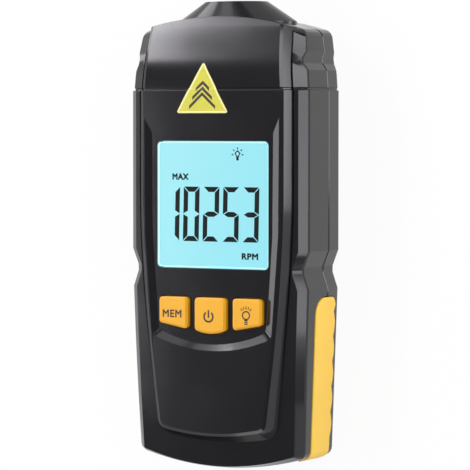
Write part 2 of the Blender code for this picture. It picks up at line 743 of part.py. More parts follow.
def key_corners(centre_x, grow):
    """Corners of a key, counterclockwise. The outer keys' tail edges slant with the recess."""
    head = KEY_TOP_Y + grow
    if centre_x == 0:
        half = POWER_WIDTH / 2 + grow
        tail = KEY_TOP_Y - POWER_LENGTH - grow
        arc = [(half * share, tail - POWER_SAG * (1 - share ** 2)) for share in (-0.5, 0, 0.5)]
        return [(-half, tail), *arc, (half, tail), (half, head), (-half, head)]
    half = KEY_WIDTH / 2 + grow
    outer = KEY_TOP_Y - KEY_LENGTH - grow
    inner = outer - KEY_SLANT
    left, right = (outer, inner) if centre_x < 0 else (inner, outer)
    low_x = centre_x - half
    high_x = centre_x + half
    return [(low_x, left), (high_x, right), (high_x, head), (low_x, head)]


def key_outline(centre_x, grow=0.0):
    """The key's outline with rounded corners."""
    return rounded(key_corners(centre_x, grow), KEY_CORNER + grow, 3)


def dovetail(grow):
    """The door's section in X and Z: wider inside, so that it can't fall off its rails."""
    outer = DOOR_HALF + grow
    inner = outer + DOOR_DOVETAIL
    top = DOOR_THICKNESS + grow
    flare = DOOR_DOVETAIL * PAST / top
    return [(-outer + flare, -PAST), (outer - flare, -PAST), (inner, top), (-inner, top)]


def front_roof(y):
    """Height of the front shell's inner face beside the panel."""
    return FACE_Z - WALL - front_drop(y)


def make_housing_forms():
    """The forms that both shells, the grips and the door are cut from."""
    forms = {
        "cavity": add_object("housing cavity", housing_form(WALL)),
        "plan": add_object("housing plan", plan_form(0.0)),
        "inner plan": add_object("inner plan", plan_form(WALL)),
        "hood way": add_object("hood way", loft_rings(hood_rings(CLEARANCE))),
    }
    pocket_form = add_object("grip pocket floor", housing_form(GRIP_DEPTH + CLEARANCE))
    pockets = [grip_block(side, CLEARANCE) for side in (1, -1)]
    forms["grip pockets"] = add_object("grip pockets", join_meshes(pockets))
    boolean(forms["grip pockets"], pocket_form)
    return forms


def make_front_shell(forms, finish):
    """The front shell: panel, recess, apertures, screw bosses and ribs in one moulding."""
    shell = add_object("front_shell", housing_form(0.0, EDGE), finish)
    rise = PANEL_RISE * (1 + PANEL_ROOT)
    foot = PANEL_BEVEL * (1 + PANEL_ROOT)
    edge_drop = PANEL_EDGE * SLOPE
    edge_reach = edge_drop * PANEL_BEVEL / PANEL_RISE
    panel = add_object("panel", panel_form([
        (THICKNESS - rise, -foot), (THICKNESS - edge_drop, -edge_reach), (THICKNESS, PANEL_EDGE)]))
    boolean(panel, forms["plan"], "INTERSECT")
    groove_side = -PANEL_BEVEL - PANEL_GROOVE
    boolean(shell, add_object("panel groove", panel_form([
        (FACE_Z - PANEL_GROOVE_DEPTH, groove_side), (THICKNESS + PAST, groove_side)])))
    boolean(shell, panel, "UNION")
    boolean(shell, add_object("recess", recess_form()))
    split_z = PARTING_Z + PARTING_GAP / 2
    below = cube_mesh((-HALF_WIDTH - PAST, TAIL_Y - PAST, -PAST),
                      (HALF_WIDTH + PAST, HEAD_Y + PAST, split_z))
    boolean(shell, add_object("below parting line", below))
    boolean(shell, forms["cavity"])
    pocket_side = WALL - PANEL_BEVEL
    pocket = add_object("panel pocket", panel_form([
        (FACE_Z - WALL - RIB_THICKNESS, pocket_side - PANEL_BEVEL / 2), (ROOF_Z, pocket_side)]))
    boolean(pocket, forms["inner plan"], "INTERSECT")
    boolean(shell, pocket)
    boolean(shell, add_object("front bosses", front_bosses(split_z)), "UNION")
    boolean(shell, add_object("front holes", front_holes()))
    boolean(shell, add_object("front apertures", front_apertures()))
    boolean(shell, forms["hood way"])
    boolean(shell, forms["grip pockets"])
    return shell


def front_bosses(split_z):
    """Bosses for the case and board screws, and ribs that hold the optics from above."""
    shapes = []
    for x, y in CASE_SCREWS:
        height = front_roof(y) + ROOT - split_z
        shapes.append(rod_mesh((x, y, split_z), CASE_BOSS_RADIUS, height))
    for x, y in BOARD_SCREWS:
        height = ROOF_Z + ROOT - BOARD_TOP_Z - CLEARANCE
        shapes.append(rod_mesh((x, y, BOARD_TOP_Z + CLEARANCE), BOARD_BOSS_RADIUS, height))
    half = HOLDER_HALF - RIB_THICKNESS
    for y in (HOLDER_TAIL_Y + RIB_THICKNESS, HOLDER_HEAD_Y - 2 * RIB_THICKNESS):
        roof = ROOF_Z - head_lean(y + RIB_THICKNESS) + ROOT
        shapes.append(cube_mesh((-half, y, OPTICS_HIGH_Z + CLEARANCE),
                                (half, y + RIB_THICKNESS, roof)))
    return join_meshes(shapes)


def front_holes():
    """Pilot holes for the case and board screws."""
    shapes = []
    for x, y in CASE_SCREWS:
        top = SCREW_SINK - CLEARANCE + SCREW_LENGTH + CLEARANCE
        start = PARTING_Z - PARTING_GAP
        shapes.append(rod_mesh((x, y, start), SCREW_RADIUS + CLEARANCE, top - start))
    for x, y in BOARD_SCREWS:
        top = BOARD_LOW_Z + BOARD_SCREW_LENGTH
        radius = BOARD_SCREW_SHANK + CLEARANCE
        shapes.append(rod_mesh((x, y, BOARD_TOP_Z), radius, top - BOARD_TOP_Z, segments=12))
    return join_meshes(shapes)


def front_apertures():
    """The display aperture and an aperture for each key."""
    half = DISPLAY_SIZE / 2 + CLEARANCE
    outline = rounded(rectangle(half, DISPLAY_Y - half, DISPLAY_Y + half),
                      DISPLAY_CORNER + CLEARANCE)
    shapes = [prism_mesh(outline, ROOF_Z - PAST / 2, THICKNESS + PAST)]
    for x in (-KEY_SPACING, 0, KEY_SPACING):
        shapes.append(prism_mesh(key_outline(x, CLEARANCE), ROOF_Z - PAST / 2, KEY_TOP_Z + PAST))
    return join_meshes(shapes)



def make_rear_shell(forms, finish):
    """The rear shell: battery bay, door rails, screw bosses and ribs in one moulding."""
    shell = add_object("rear_shell", housing_form(0.0, EDGE), finish)
    split_z = PARTING_Z - PARTING_GAP / 2
    above = cube_mesh((-HALF_WIDTH - PAST, TAIL_Y - PAST, split_z),
                      (HALF_WIDTH + PAST, HEAD_Y + PAST, THICKNESS + PAST))
    boolean(shell, add_object("above parting line", above))
    boolean(shell, forms["cavity"])
    fittings = add_object("rear fittings", bay_block())
    boolean(fittings, add_object("door ledges", door_ledges()), "UNION")
    boolean(fittings, add_object("rear bosses", rear_bosses(split_z)), "UNION")
    boolean(fittings, add_object("housing lining", housing_form(WALL - ROOT)), "INTERSECT")
    boolean(shell, fittings, "UNION")
    boolean(shell, add_object("battery bay", bay_space()))
    boolean(shell, add_object("door way", door_way()))
    boolean(shell, add_object("rear holes", rear_holes()))
    boolean(shell, forms["hood way"])
    boolean(shell, forms["grip pockets"])
    return shell


def bay_block():
    """The battery bay's outer box, up to the underside of the board."""
    half = BAY_HALF + BAY_WALL
    return cube_mesh((-half, BAY_TAIL_Y - BAY_WALL, ROOT),
                     (half, BAY_HEAD_Y + BAY_WALL, BOARD_LOW_Z - CLEARANCE))


def door_ledges():
    """Thicker floor beside the battery bay, which the door's rails are cut in."""
    ledge_half = DOOR_HALF + DOOR_DOVETAIL + DOOR_LEDGE_MARGIN
    ledge_z = DOOR_THICKNESS + CLEARANCE + DOOR_LEDGE
    side = BAY_HALF + BAY_WALL - ROOT
    shapes = []
    for low_x, high_x in ((-ledge_half, -side), (side, ledge_half)):
        shapes.append(cube_mesh((low_x, TAIL_Y, ROOT),
                                (high_x, DOOR_HEAD_Y + DOOR_LEDGE_MARGIN, ledge_z)))
    return join_meshes(shapes)


def rear_bosses(split_z):
    """Bosses for the case screws, and ribs that hold the optics from below."""
    shapes = [rod_mesh((x, y, ROOT), CASE_BOSS_RADIUS, split_z - ROOT) for x, y in CASE_SCREWS]
    half = HOLDER_HALF - RIB_THICKNESS
    for y in (HOLDER_TAIL_Y + RIB_THICKNESS, HOLDER_HEAD_Y - 2 * RIB_THICKNESS):
        shapes.append(cube_mesh((-half, y, ROOT), (half, y + RIB_THICKNESS,
                                                   OPTICS_LOW_Z - CLEARANCE)))
    return join_meshes(shapes)


def bay_space():
    """The space inside the battery bay, open to the back."""
    return cube_mesh((-BAY_HALF, BAY_TAIL_Y, -PAST), (BAY_HALF, BAY_HEAD_Y, BAY_TOP_Z))


def door_way():
    """The rebate that the door slides in, with the slot for its tongue."""
    return prism_mesh(dovetail(CLEARANCE), TAIL_Y - PAST, DOOR_HEAD_Y + CLEARANCE, "Y")


def rear_holes():
    """Sunk screw holes, the tongue's slot and the slot that the battery leads pass through."""
    shapes = []
    for x, y in CASE_SCREWS:
        shapes.append(rod_mesh((x, y, -PAST), SCREW_HEAD_RADIUS + CLEARANCE, PAST + SCREW_SINK))
    shapes.append(cube_mesh(
        (-LEAD_SLOT_HALF, BAY_HEAD_Y - BAY_WALL, BAY_TOP_Z - LEAD_SLOT_DEPTH),
        (LEAD_SLOT_HALF, BAY_HEAD_Y + 2 * BAY_WALL, BOARD_LOW_Z)))
    tongue = DOOR_TONGUE_HALF + CLEARANCE
    shapes.append(cube_mesh(
        (-tongue, DOOR_HEAD_Y - PAST, DOOR_THICKNESS - DOOR_TONGUE_THICKNESS - CLEARANCE),
        (tongue, DOOR_HEAD_Y + DOOR_TONGUE_LENGTH + CLEARANCE, DOOR_THICKNESS + CLEARANCE)))
    return join_meshes(shapes)


def make_screw_ways(rear):
    """Narrow holes from the sunk ones to the parting line."""
    shapes = []
    for x, y in CASE_SCREWS:
        start = SCREW_SINK - SCREW_HEAD_HEIGHT
        shapes.append(rod_mesh((x, y, start), SCREW_RADIUS + CLEARANCE, PARTING_Z - start))
    boolean(rear, add_object("screw ways", join_meshes(shapes)))


def make_grips(finish):
    """The two soft grips, cut from a skin that lies over the housing's sides."""
    outer = add_object("grip surface", housing_form(-GRIP_PROUD))
    inner = add_object("grip back", housing_form(GRIP_DEPTH))
    for name, side in (("grip_right", 1), ("grip_left", -1)):
        grip = add_object(name, grip_block(side, 0.0), finish)
        boolean(grip, outer, "INTERSECT")
        boolean(grip, inner)


def make_hood(finish, glass):
    """The tapered hood with a flange that the shells trap, and its window."""
    flange = (HOOD_BASE_HALF + HOOD_FLANGE, HOOD_BASE_RISE + HOOD_FLANGE)
    rings = [ellipse_ring(HOOD_TAIL_Y, *flange), ellipse_ring(HOOD_FLANGE_Y, *flange)]
    hood = add_object("sensor_hood", loft_rings(rings + hood_rings()), finish)
    window_half = HOOD_TIP_HALF - HOOD_RIM
    window_rise = HOOD_TIP_RISE - HOOD_RIM
    seat_y = HOOD_TIP_Y - HOOD_WINDOW_SINK - HOOD_WINDOW_THICKNESS - CLEARANCE
    inner = (HOOD_BASE_HALF - HOOD_WALL, HOOD_BASE_RISE - HOOD_WALL)
    mouth = (window_half - HOOD_LEDGE, window_rise - HOOD_LEDGE)
    bore = loft_rings([
        ellipse_ring(HOOD_TAIL_Y - PAST, *inner),
        ellipse_ring(HOOD_BASE_Y - HOOD_WALL, *inner),
        ellipse_ring(seat_y - HOOD_LEDGE, *mouth),
        ellipse_ring(seat_y, *mouth),
        ellipse_ring(seat_y, window_half, window_rise),
        ellipse_ring(HOOD_TIP_Y + PAST, window_half, window_rise),
    ])
    boolean(hood, add_object("hood bore", bore))
    low = seat_y + CLEARANCE
    size = (window_half - CLEARANCE, window_rise - CLEARANCE)
    window = loft_rings([ellipse_ring(low, *size),
                         ellipse_ring(low + HOOD_WINDOW_THICKNESS, *size)])
    add_object("sensor_window", window, glass)


def make_optics(plastic, brass, glass, dark):
    """The laser module and the receiver with its lens, side by side in one holder."""
    holder = add_object("optics_holder", cube_mesh(
        (-HOLDER_HALF, HOLDER_TAIL_Y, OPTICS_LOW_Z),
        (HOLDER_HALF, HOLDER_HEAD_Y, OPTICS_HIGH_Z)), plastic)
    through = HOLDER_LENGTH + 2 * PAST
    laser_way = rod_mesh((-OPTICS_SPACING, HOLDER_TAIL_Y - PAST, HOOD_Z),
                         LASER_RADIUS + CLEARANCE, through, "Y")
    diode_way = rod_mesh((OPTICS_SPACING, HOLDER_TAIL_Y - PAST, HOOD_Z),
                         DIODE_RADIUS + CLEARANCE, through, "Y")
    step_y = HOLDER_HEAD_Y - OPTICS_STEP
    lens_way = rod_mesh((OPTICS_SPACING, step_y, HOOD_Z), LENS_RADIUS + CLEARANCE,
                        OPTICS_STEP + PAST, "Y")
    boolean(holder, add_object("optics ways", join_meshes([laser_way, diode_way])))
    boolean(holder, add_object("lens way", lens_way))
    laser_y = HOLDER_TAIL_Y + CLEARANCE
    laser = add_object("laser_module", rod_mesh((-OPTICS_SPACING, laser_y, HOOD_Z),
                                                LASER_RADIUS, LASER_LENGTH, "Y"), brass)
    nozzle = rod_mesh((-OPTICS_SPACING, laser_y + LASER_LENGTH - ROOT, HOOD_Z),
                      LASER_NOZZLE_RADIUS, LASER_NOZZLE_LENGTH + ROOT, "Y")
    boolean(laser, add_object("laser nozzle", nozzle), "UNION")
    add_object("receiver_lens", rod_mesh((OPTICS_SPACING, step_y + CLEARANCE, HOOD_Z),
                                         LENS_RADIUS, LENS_THICKNESS, "Y"), glass)
    add_object("photodiode", rod_mesh((OPTICS_SPACING, HOLDER_TAIL_Y + CLEARANCE, HOOD_Z),
                                      DIODE_RADIUS, DIODE_LENGTH, "Y"), dark)


def make_display(glass, crystal, plastic, white, rubber):
    """The window, the display glass, and what holds, lights and connects it.

    The glass is two plates. The front one fills the aperture, and the back one carries the
    contacts on a ledge that reaches over the zebra strip.
    """
    half = DISPLAY_SIZE / 2
    outline = rounded(rectangle(half, DISPLAY_Y - half, DISPLAY_Y + half), DISPLAY_CORNER)
    add_object("display_window", prism_mesh(outline, GLASS_TOP_Z + CLEARANCE, FLOOR_Z), glass)
    tail_y = DISPLAY_Y - GLASS_HALF
    head_y = DISPLAY_Y + GLASS_HALF
    glass_tail_y = tail_y - GLASS_LEDGE
    plates = add_object("lcd_glass", cube_mesh(
        (-GLASS_HALF, glass_tail_y, GLASS_Z),
        (GLASS_HALF, head_y, GLASS_Z + GLASS_THICKNESS)), crystal)
    front_plate = prism_mesh(outline, GLASS_Z + GLASS_THICKNESS / 2, GLASS_TOP_Z)
    boolean(plates, add_object("front plate", front_plate), "UNION")
    add_object("backlight", cube_mesh((-GLASS_HALF, tail_y, BACKLIGHT_Z),
                                      (GLASS_HALF, head_y, GLASS_Z - CLEARANCE)), white)
    zebra_half = GLASS_HALF - ZEBRA_WIDTH
    zebra_y = glass_tail_y + CLEARANCE
    add_object("zebra_strip", cube_mesh((-zebra_half, zebra_y, BOARD_TOP_Z + CLEARANCE),
                                        (zebra_half, zebra_y + ZEBRA_WIDTH,
                                         GLASS_Z - CLEARANCE)), rubber)
    inner = GLASS_HALF + CLEARANCE
    outer = inner + FRAME_WALL
    low = glass_tail_y - CLEARANCE
    high = head_y + CLEARANCE
    frame = add_object("lcd_frame", prism_mesh(
        rounded(rectangle(outer, low - FRAME_WALL, high + FRAME_WALL), FRAME_WALL),
        BOARD_TOP_Z + CLEARANCE, ROOF_Z - CLEARANCE), plastic)
    boolean(frame, add_object("frame opening", prism_mesh(
        rectangle(inner, low, high), BOARD_TOP_Z - PAST, ROOF_Z + PAST)))


def make_keys(finish, metal, plunger_finish):
    """Three keys, each over a tact switch with a moving plunger."""
    for name, x in (("mem", -KEY_SPACING), ("power", 0.0), ("light", KEY_SPACING)):
        origin = (x, KEY_CENTRE_Y, KEY_LOW_Z)
        cap = prism_mesh(key_outline(x), KEY_LOW_Z + ROOT / 2, KEY_TOP_Z)
        edges = [edge for edge in cap.edges
                 if all(abs(vert.co.z - KEY_TOP_Z) < CLEARANCE / 10 for vert in edge.verts)]
        bmesh.ops.bevel(cap, geom=edges, offset=KEY_EDGE, segments=2, affect="EDGES")
        key = add_object(f"{name}_button", cap, finish, origin)
        flange = prism_mesh(key_outline(x, KEY_FLANGE), KEY_LOW_Z, ROOF_Z - CLEARANCE)
        boolean(key, add_object(f"{name} flange", flange, origin=origin), "UNION")
        half = SWITCH_SIZE / 2
        switch = add_object(f"{name}_switch", cube_mesh(
            (x - half, KEY_CENTRE_Y - half, SWITCH_Z),
            (x + half, KEY_CENTRE_Y + half, SWITCH_Z + SWITCH_HEIGHT)), metal)
        plunger_z = PLUNGER_TOP_Z - PLUNGER_LENGTH
        well_z = plunger_z - KEY_TRAVEL - PLUNGER_SLACK
        well = rod_mesh((x, KEY_CENTRE_Y, well_z), PLUNGER_RADIUS + CLEARANCE, PAST)
        boolean(switch, add_object(f"{name} well", well))
        plunger = rod_mesh((x, KEY_CENTRE_Y, plunger_z), PLUNGER_RADIUS, PLUNGER_LENGTH)
        add_object(f"{name}_plunger", plunger, plunger_finish, (x, KEY_CENTRE_Y, plunger_z))


def make_board(green, dark, metal):
    """The main board with its chip and crystal on the back, and the holes for its screws."""
    board = add_object("main_board", prism_mesh(
        rounded(rectangle(BOARD_HALF, BOARD_TAIL_Y, BOARD_HEAD_Y), BOARD_CORNER),
        BOARD_LOW_Z, BOARD_TOP_Z), green)
    holes = [rod_mesh((x, y, BOARD_LOW_Z - PAST), BOARD_SCREW_SHANK + CLEARANCE, 2 * PAST,
                      segments=12) for x, y in BOARD_SCREWS]
    boolean(board, add_object("board holes", join_meshes(holes)))
    top = BOARD_LOW_Z - CLEARANCE
    half = CHIP_SIZE / 2
    add_object("controller_chip", cube_mesh((-half, CHIP_Y, top - CHIP_HEIGHT),
                                            (half, CHIP_Y + CHIP_SIZE, top)), dark)
    can = rounded(rectangle(CRYSTAL_LENGTH / 2, CHIP_Y, CHIP_Y + CRYSTAL_WIDTH),
                  CRYSTAL_WIDTH / 2.1)
    crystal_x = half + CRYSTAL_FROM_CHIP + CRYSTAL_LENGTH / 2
    add_object("quartz_crystal", prism_mesh([(crystal_x + x, y) for x, y in can],
                                            top - CRYSTAL_HEIGHT, top), metal)


def make_battery(label, metal, black, red):
    """The block battery, its snap connector and the two leads to the board."""
    half = BATTERY_WIDTH / 2
    block = cube_mesh((-half, BATTERY_TAIL_Y, BATTERY_Z),
                      (half, BATTERY_HEAD_Y, BATTERY_Z + BATTERY_HEIGHT))
    bmesh.ops.bevel(block, geom=block.edges[:], offset=BATTERY_EDGE, segments=2, affect="EDGES")
    battery = add_object("battery", block, label)
    centre_z = BATTERY_Z + BATTERY_HEIGHT / 2
    terminals = ((-TERMINAL_SPACING / 2, SMALL_TERMINAL), (TERMINAL_SPACING / 2, LARGE_TERMINAL))
    studs = [rod_mesh((x, BATTERY_HEAD_Y - ROOT, centre_z), radius, TERMINAL_HEIGHT + ROOT, "Y")
             for x, radius in terminals]
    boolean(battery, add_object("battery terminals", join_meshes(studs)), "UNION")
    snap_half = half - CLEARANCE
    snap = add_object("battery_snap", cube_mesh(
        (-snap_half, SNAP_Y, centre_z - SNAP_HEIGHT / 2),
        (snap_half, SNAP_Y + SNAP_THICKNESS, centre_z + SNAP_HEIGHT / 2)), black)
    sockets = [rod_mesh((x, SNAP_Y - PAST, centre_z), radius + CLEARANCE,
                        TERMINAL_HEIGHT + PAST, "Y") for x, radius in terminals]
    boolean(snap, add_object("snap sockets", join_meshes(sockets)))
    for name, x, finish in (("battery_lead_red", -LEAD_SPACING / 2, red),
                            ("battery_lead_black", LEAD_SPACING / 2, black)):
        make_lead(name, x, centre_z, finish)


def make_lead(name, x, start_z, finish):
    """A lead from the snap through the slot in the bay's end wall to the board."""
    slot_z = BAY_TOP_Z - LEAD_SLOT_DEPTH / 2
    snap_head_y = SNAP_Y + SNAP_THICKNESS
    route = [
        (x, snap_head_y + CLEARANCE, start_z),
        (x, snap_head_y + BAY_HEADROOM / 2, start_z + LEAD_RADIUS),
        (x, LEAD_WALL_Y, slot_z),
        (x, (LEAD_WALL_Y + LEAD_LANDING_Y) / 2, slot_z + LEAD_RADIUS),
        (x, LEAD_LANDING_Y, BOARD_LOW_Z - 3 * LEAD_RADIUS),
        (x, LEAD_LANDING_Y, BOARD_LOW_Z - CLEARANCE),
    ]
    curve = bpy.data.curves.new(name, "CURVE")
    curve.dimensions = "3D"
    curve.bevel_depth = LEAD_RADIUS
    curve.bevel_resolution = 2
    curve.resolution_u = 4
    curve.use_fill_caps = True
    spline = curve.splines.new("BEZIER")
    spline.bezier_points.add(len(route) - 1)
    for point, place in zip(spline.bezier_points, route):
        point.co = place
        point.handle_left_type = "AUTO"
        point.handle_right_type = "AUTO"
    spline.bezier_points[-1].handle_left_type = "VECTOR"
    curve.materials.append(finish)
    lead = bpy.data.objects.new(name, curve)
    bpy.data.collections[PARTS].objects.link(lead)


def make_door(finish):
    """The battery door: a dovetailed slide with thumb grooves and a tongue at its head end."""
    origin = (0, DOOR_HEAD_Y, 0)
    door = add_object("battery_door", prism_mesh(dovetail(0.0), TAIL_Y - PAST, DOOR_HEAD_Y, "Y"),
                      finish, origin)
    boolean(door, add_object("door surface", housing_form(0.0, EDGE)), "INTERSECT")
    tongue = cube_mesh(
        (-DOOR_TONGUE_HALF, DOOR_HEAD_Y - ROOT, DOOR_THICKNESS - DOOR_TONGUE_THICKNESS),
        (DOOR_TONGUE_HALF, DOOR_HEAD_Y + DOOR_TONGUE_LENGTH, DOOR_THICKNESS))
    boolean(door, add_object("door tongue", tongue), "UNION")
    grooves = []
    for index in range(RIB_COUNT):
        y = DOOR_HEAD_Y - RIB_FROM_END - index * RIB_PITCH
        grooves.append(cube_mesh((-RIB_HALF, y - RIB_WIDTH, -PAST), (RIB_HALF, y, RIB_DEPTH)))
    boolean(door, add_object("door grooves", join_meshes(grooves)))


def screw_object(name, x, y, head_z, head_radius, head_height, radius, length, finish):
    """A pan head screw that points towards +Z."""
    screw = add_object(name, rod_mesh((x, y, head_z), head_radius, head_height), finish)
    shank = rod_mesh((x, y, head_z + head_height / 2), radius, head_height / 2 + length,
                     segments=12)
    boolean(screw, add_object(f"{name} shank", shank), "UNION")


def make_screws(metal):
    """Screws that close the case from the back, and screws that hold the board."""
    for index, (x, y) in enumerate(CASE_SCREWS, 1):
        head_z = SCREW_SINK - CLEARANCE - SCREW_HEAD_HEIGHT
        screw_object(f"case_screw_{index}", x, y, head_z, SCREW_HEAD_RADIUS,
                     SCREW_HEAD_HEIGHT, SCREW_RADIUS, SCREW_LENGTH - ROOT, metal)
    for index, (x, y) in enumerate(BOARD_SCREWS, 1):
        head_z = BOARD_LOW_Z - CLEARANCE - BOARD_SCREW_HEAD_HEIGHT
        screw_object(f"board_screw_{index}", x, y, head_z, BOARD_SCREW_HEAD,
                     BOARD_SCREW_HEAD_HEIGHT, BOARD_SCREW_SHANK, BOARD_SCREW_LENGTH, metal)


def main():
    """Build every part of the tachometer."""
    clear_scene()
    black = material("black ABS", (0.018, 0.017, 0.020), 0.42)
    orange = material("orange key plastic", (0.95, 0.42, 0.03), 0.35)
    yellow = material("amber grip rubber", (0.95, 0.58, 0.08), 0.55)
    clear = material("clear acrylic", (0.85, 0.95, 0.95), 0.08, alpha=0.3)
    crystal = material("display glass", (0.30, 0.72, 0.82), 0.25)
    white = material("light guide", (0.75, 0.95, 1.0), 0.5)
    grey = material("grey moulded plastic", (0.12, 0.12, 0.13), 0.5)
    rubber = material("zebra rubber", (0.35, 0.08, 0.08), 0.7)
    green = material("green laminate", (0.02, 0.16, 0.06), 0.45)
    dark = material("black epoxy", (0.01, 0.01, 0.01), 0.5)
    steel = material("plated steel", (0.62, 0.62, 0.60), 0.3, metallic=1.0)
    brass = material("brass", (0.72, 0.52, 0.20), 0.3, metallic=1.0)
    wrap = material("battery wrap", (0.05, 0.06, 0.10), 0.35)
    red = material("red lead jacket", (0.60, 0.02, 0.02), 0.5)
    forms = make_housing_forms()
    make_front_shell(forms, black)
    rear = make_rear_shell(forms, black)
    make_screw_ways(rear)
    make_grips(yellow)
    make_hood(black, clear)
    make_optics(grey, brass, clear, dark)
    make_display(clear, crystal, grey, white, rubber)
    make_keys(orange, steel, dark)
    make_board(green, dark, steel)
    make_battery(wrap, steel, dark, red)
    make_door(black)
    make_screws(steel)


if __name__ == "__main__":
    main()
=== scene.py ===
"""Dresses the solids of a handheld optical tachometer with finishes, legends and a lit display."""

import json
import math

import bmesh
import bpy
from mathutils import Matrix, Vector
from mathutils.bvhtree import BVHTree

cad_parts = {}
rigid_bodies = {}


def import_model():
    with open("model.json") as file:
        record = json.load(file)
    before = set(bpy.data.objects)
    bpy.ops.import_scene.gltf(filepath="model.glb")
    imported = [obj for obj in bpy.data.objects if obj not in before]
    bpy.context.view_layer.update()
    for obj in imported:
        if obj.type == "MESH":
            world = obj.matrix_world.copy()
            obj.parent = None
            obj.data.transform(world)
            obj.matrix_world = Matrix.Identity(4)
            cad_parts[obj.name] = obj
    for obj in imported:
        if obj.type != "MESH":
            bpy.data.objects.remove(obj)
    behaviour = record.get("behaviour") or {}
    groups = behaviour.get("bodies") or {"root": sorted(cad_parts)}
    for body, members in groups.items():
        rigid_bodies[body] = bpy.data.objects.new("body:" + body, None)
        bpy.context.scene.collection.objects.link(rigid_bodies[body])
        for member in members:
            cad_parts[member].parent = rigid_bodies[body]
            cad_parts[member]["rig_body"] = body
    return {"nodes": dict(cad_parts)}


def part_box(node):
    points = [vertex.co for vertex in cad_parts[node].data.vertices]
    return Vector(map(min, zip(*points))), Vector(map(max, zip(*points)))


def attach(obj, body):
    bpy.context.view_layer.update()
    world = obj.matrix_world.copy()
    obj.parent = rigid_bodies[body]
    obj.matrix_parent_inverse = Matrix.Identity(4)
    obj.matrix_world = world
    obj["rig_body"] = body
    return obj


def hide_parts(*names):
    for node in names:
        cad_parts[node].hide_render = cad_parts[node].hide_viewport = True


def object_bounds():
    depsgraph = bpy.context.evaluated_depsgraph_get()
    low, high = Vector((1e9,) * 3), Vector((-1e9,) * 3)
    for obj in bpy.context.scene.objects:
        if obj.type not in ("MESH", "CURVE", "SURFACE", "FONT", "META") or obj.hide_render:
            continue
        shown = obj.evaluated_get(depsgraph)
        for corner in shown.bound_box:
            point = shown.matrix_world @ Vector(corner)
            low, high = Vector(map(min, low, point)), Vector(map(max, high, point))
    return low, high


bl_info = {
    "name": "Handheld Optical Tachometer",
    "version": (1, 0, 0),
    "blender": (4, 5, 0),
    "location": "3D View > Sidebar > Tachometer",
    "description": "Finishes, legends, display and studio for a handheld optical tachometer",
    "category": "Object",
}

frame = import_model()
CAD_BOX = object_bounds()

MM = 0.001
MERGE = 1e-7
CUT_REACH = 1e-8
FLAT_ANGLE = math.radians(0.6)
SHARP_ANGLE = math.radians(31)
CREASE_ANGLE = math.radians(17)
FACET_WIDTH = 0.5 * MM
LEVEL = 0.995
EDGE_RADIUS = 0.12 * MM
EDGE_SAMPLES = 6
EDGE_CONTRAST = 9
HEADROOM = 0.01
CORNER_STEPS = 5
LETTER_SPACING = 1.12

# Where the legends and the display's signs sit, from the middle of the instrument
MEM_PLACE = (-12.0 * MM, -21.97 * MM)
POWER_PLACE = (-0.3 * MM, -22.54 * MM)
LIGHT_PLACE = (11.59 * MM, -21.81 * MM)
MAX_PLACE = (-10.57 * MM, 16.45 * MM)
RPM_PLACE = (11.58 * MM, -5.55 * MM)
ICON_PLACE = (7.66 * MM, 22.85 * MM)

BARS_OF_DIGIT = {
    "0": "abcdef", "1": "bc", "2": "abged", "3": "abgcd", "4": "fgbc",
    "5": "afgcd", "6": "afgedc", "7": "abc", "8": "abcdefg", "9": "abcdfg",
}


class Field:
    """A shader value that Python's own operators turn into Math nodes."""

    def __init__(self, finish, socket):
        self.finish = finish
        self.socket = socket

    def maths(self, operation, *values):
        return self.finish.node("Math", {"operation": operation}, dict(enumerate(values)))

    def __add__(self, other):
        return self.maths("ADD", self, other)

    def __radd__(self, other):
        return self.maths("ADD", other, self)

    def __sub__(self, other):
        return self.maths("SUBTRACT", self, other)

    def __rsub__(self, other):
        return self.maths("SUBTRACT", other, self)

    def __mul__(self, other):
        return self.maths("MULTIPLY", self, other)

    def __gt__(self, other):
        return self.maths("GREATER_THAN", self, other)

    def __lt__(self, other):
        return self.maths("LESS_THAN", self, other)

    def limited(self):
        """The value kept between nought and one."""
        return self.finish.node("Clamp", None, {"Value": self})


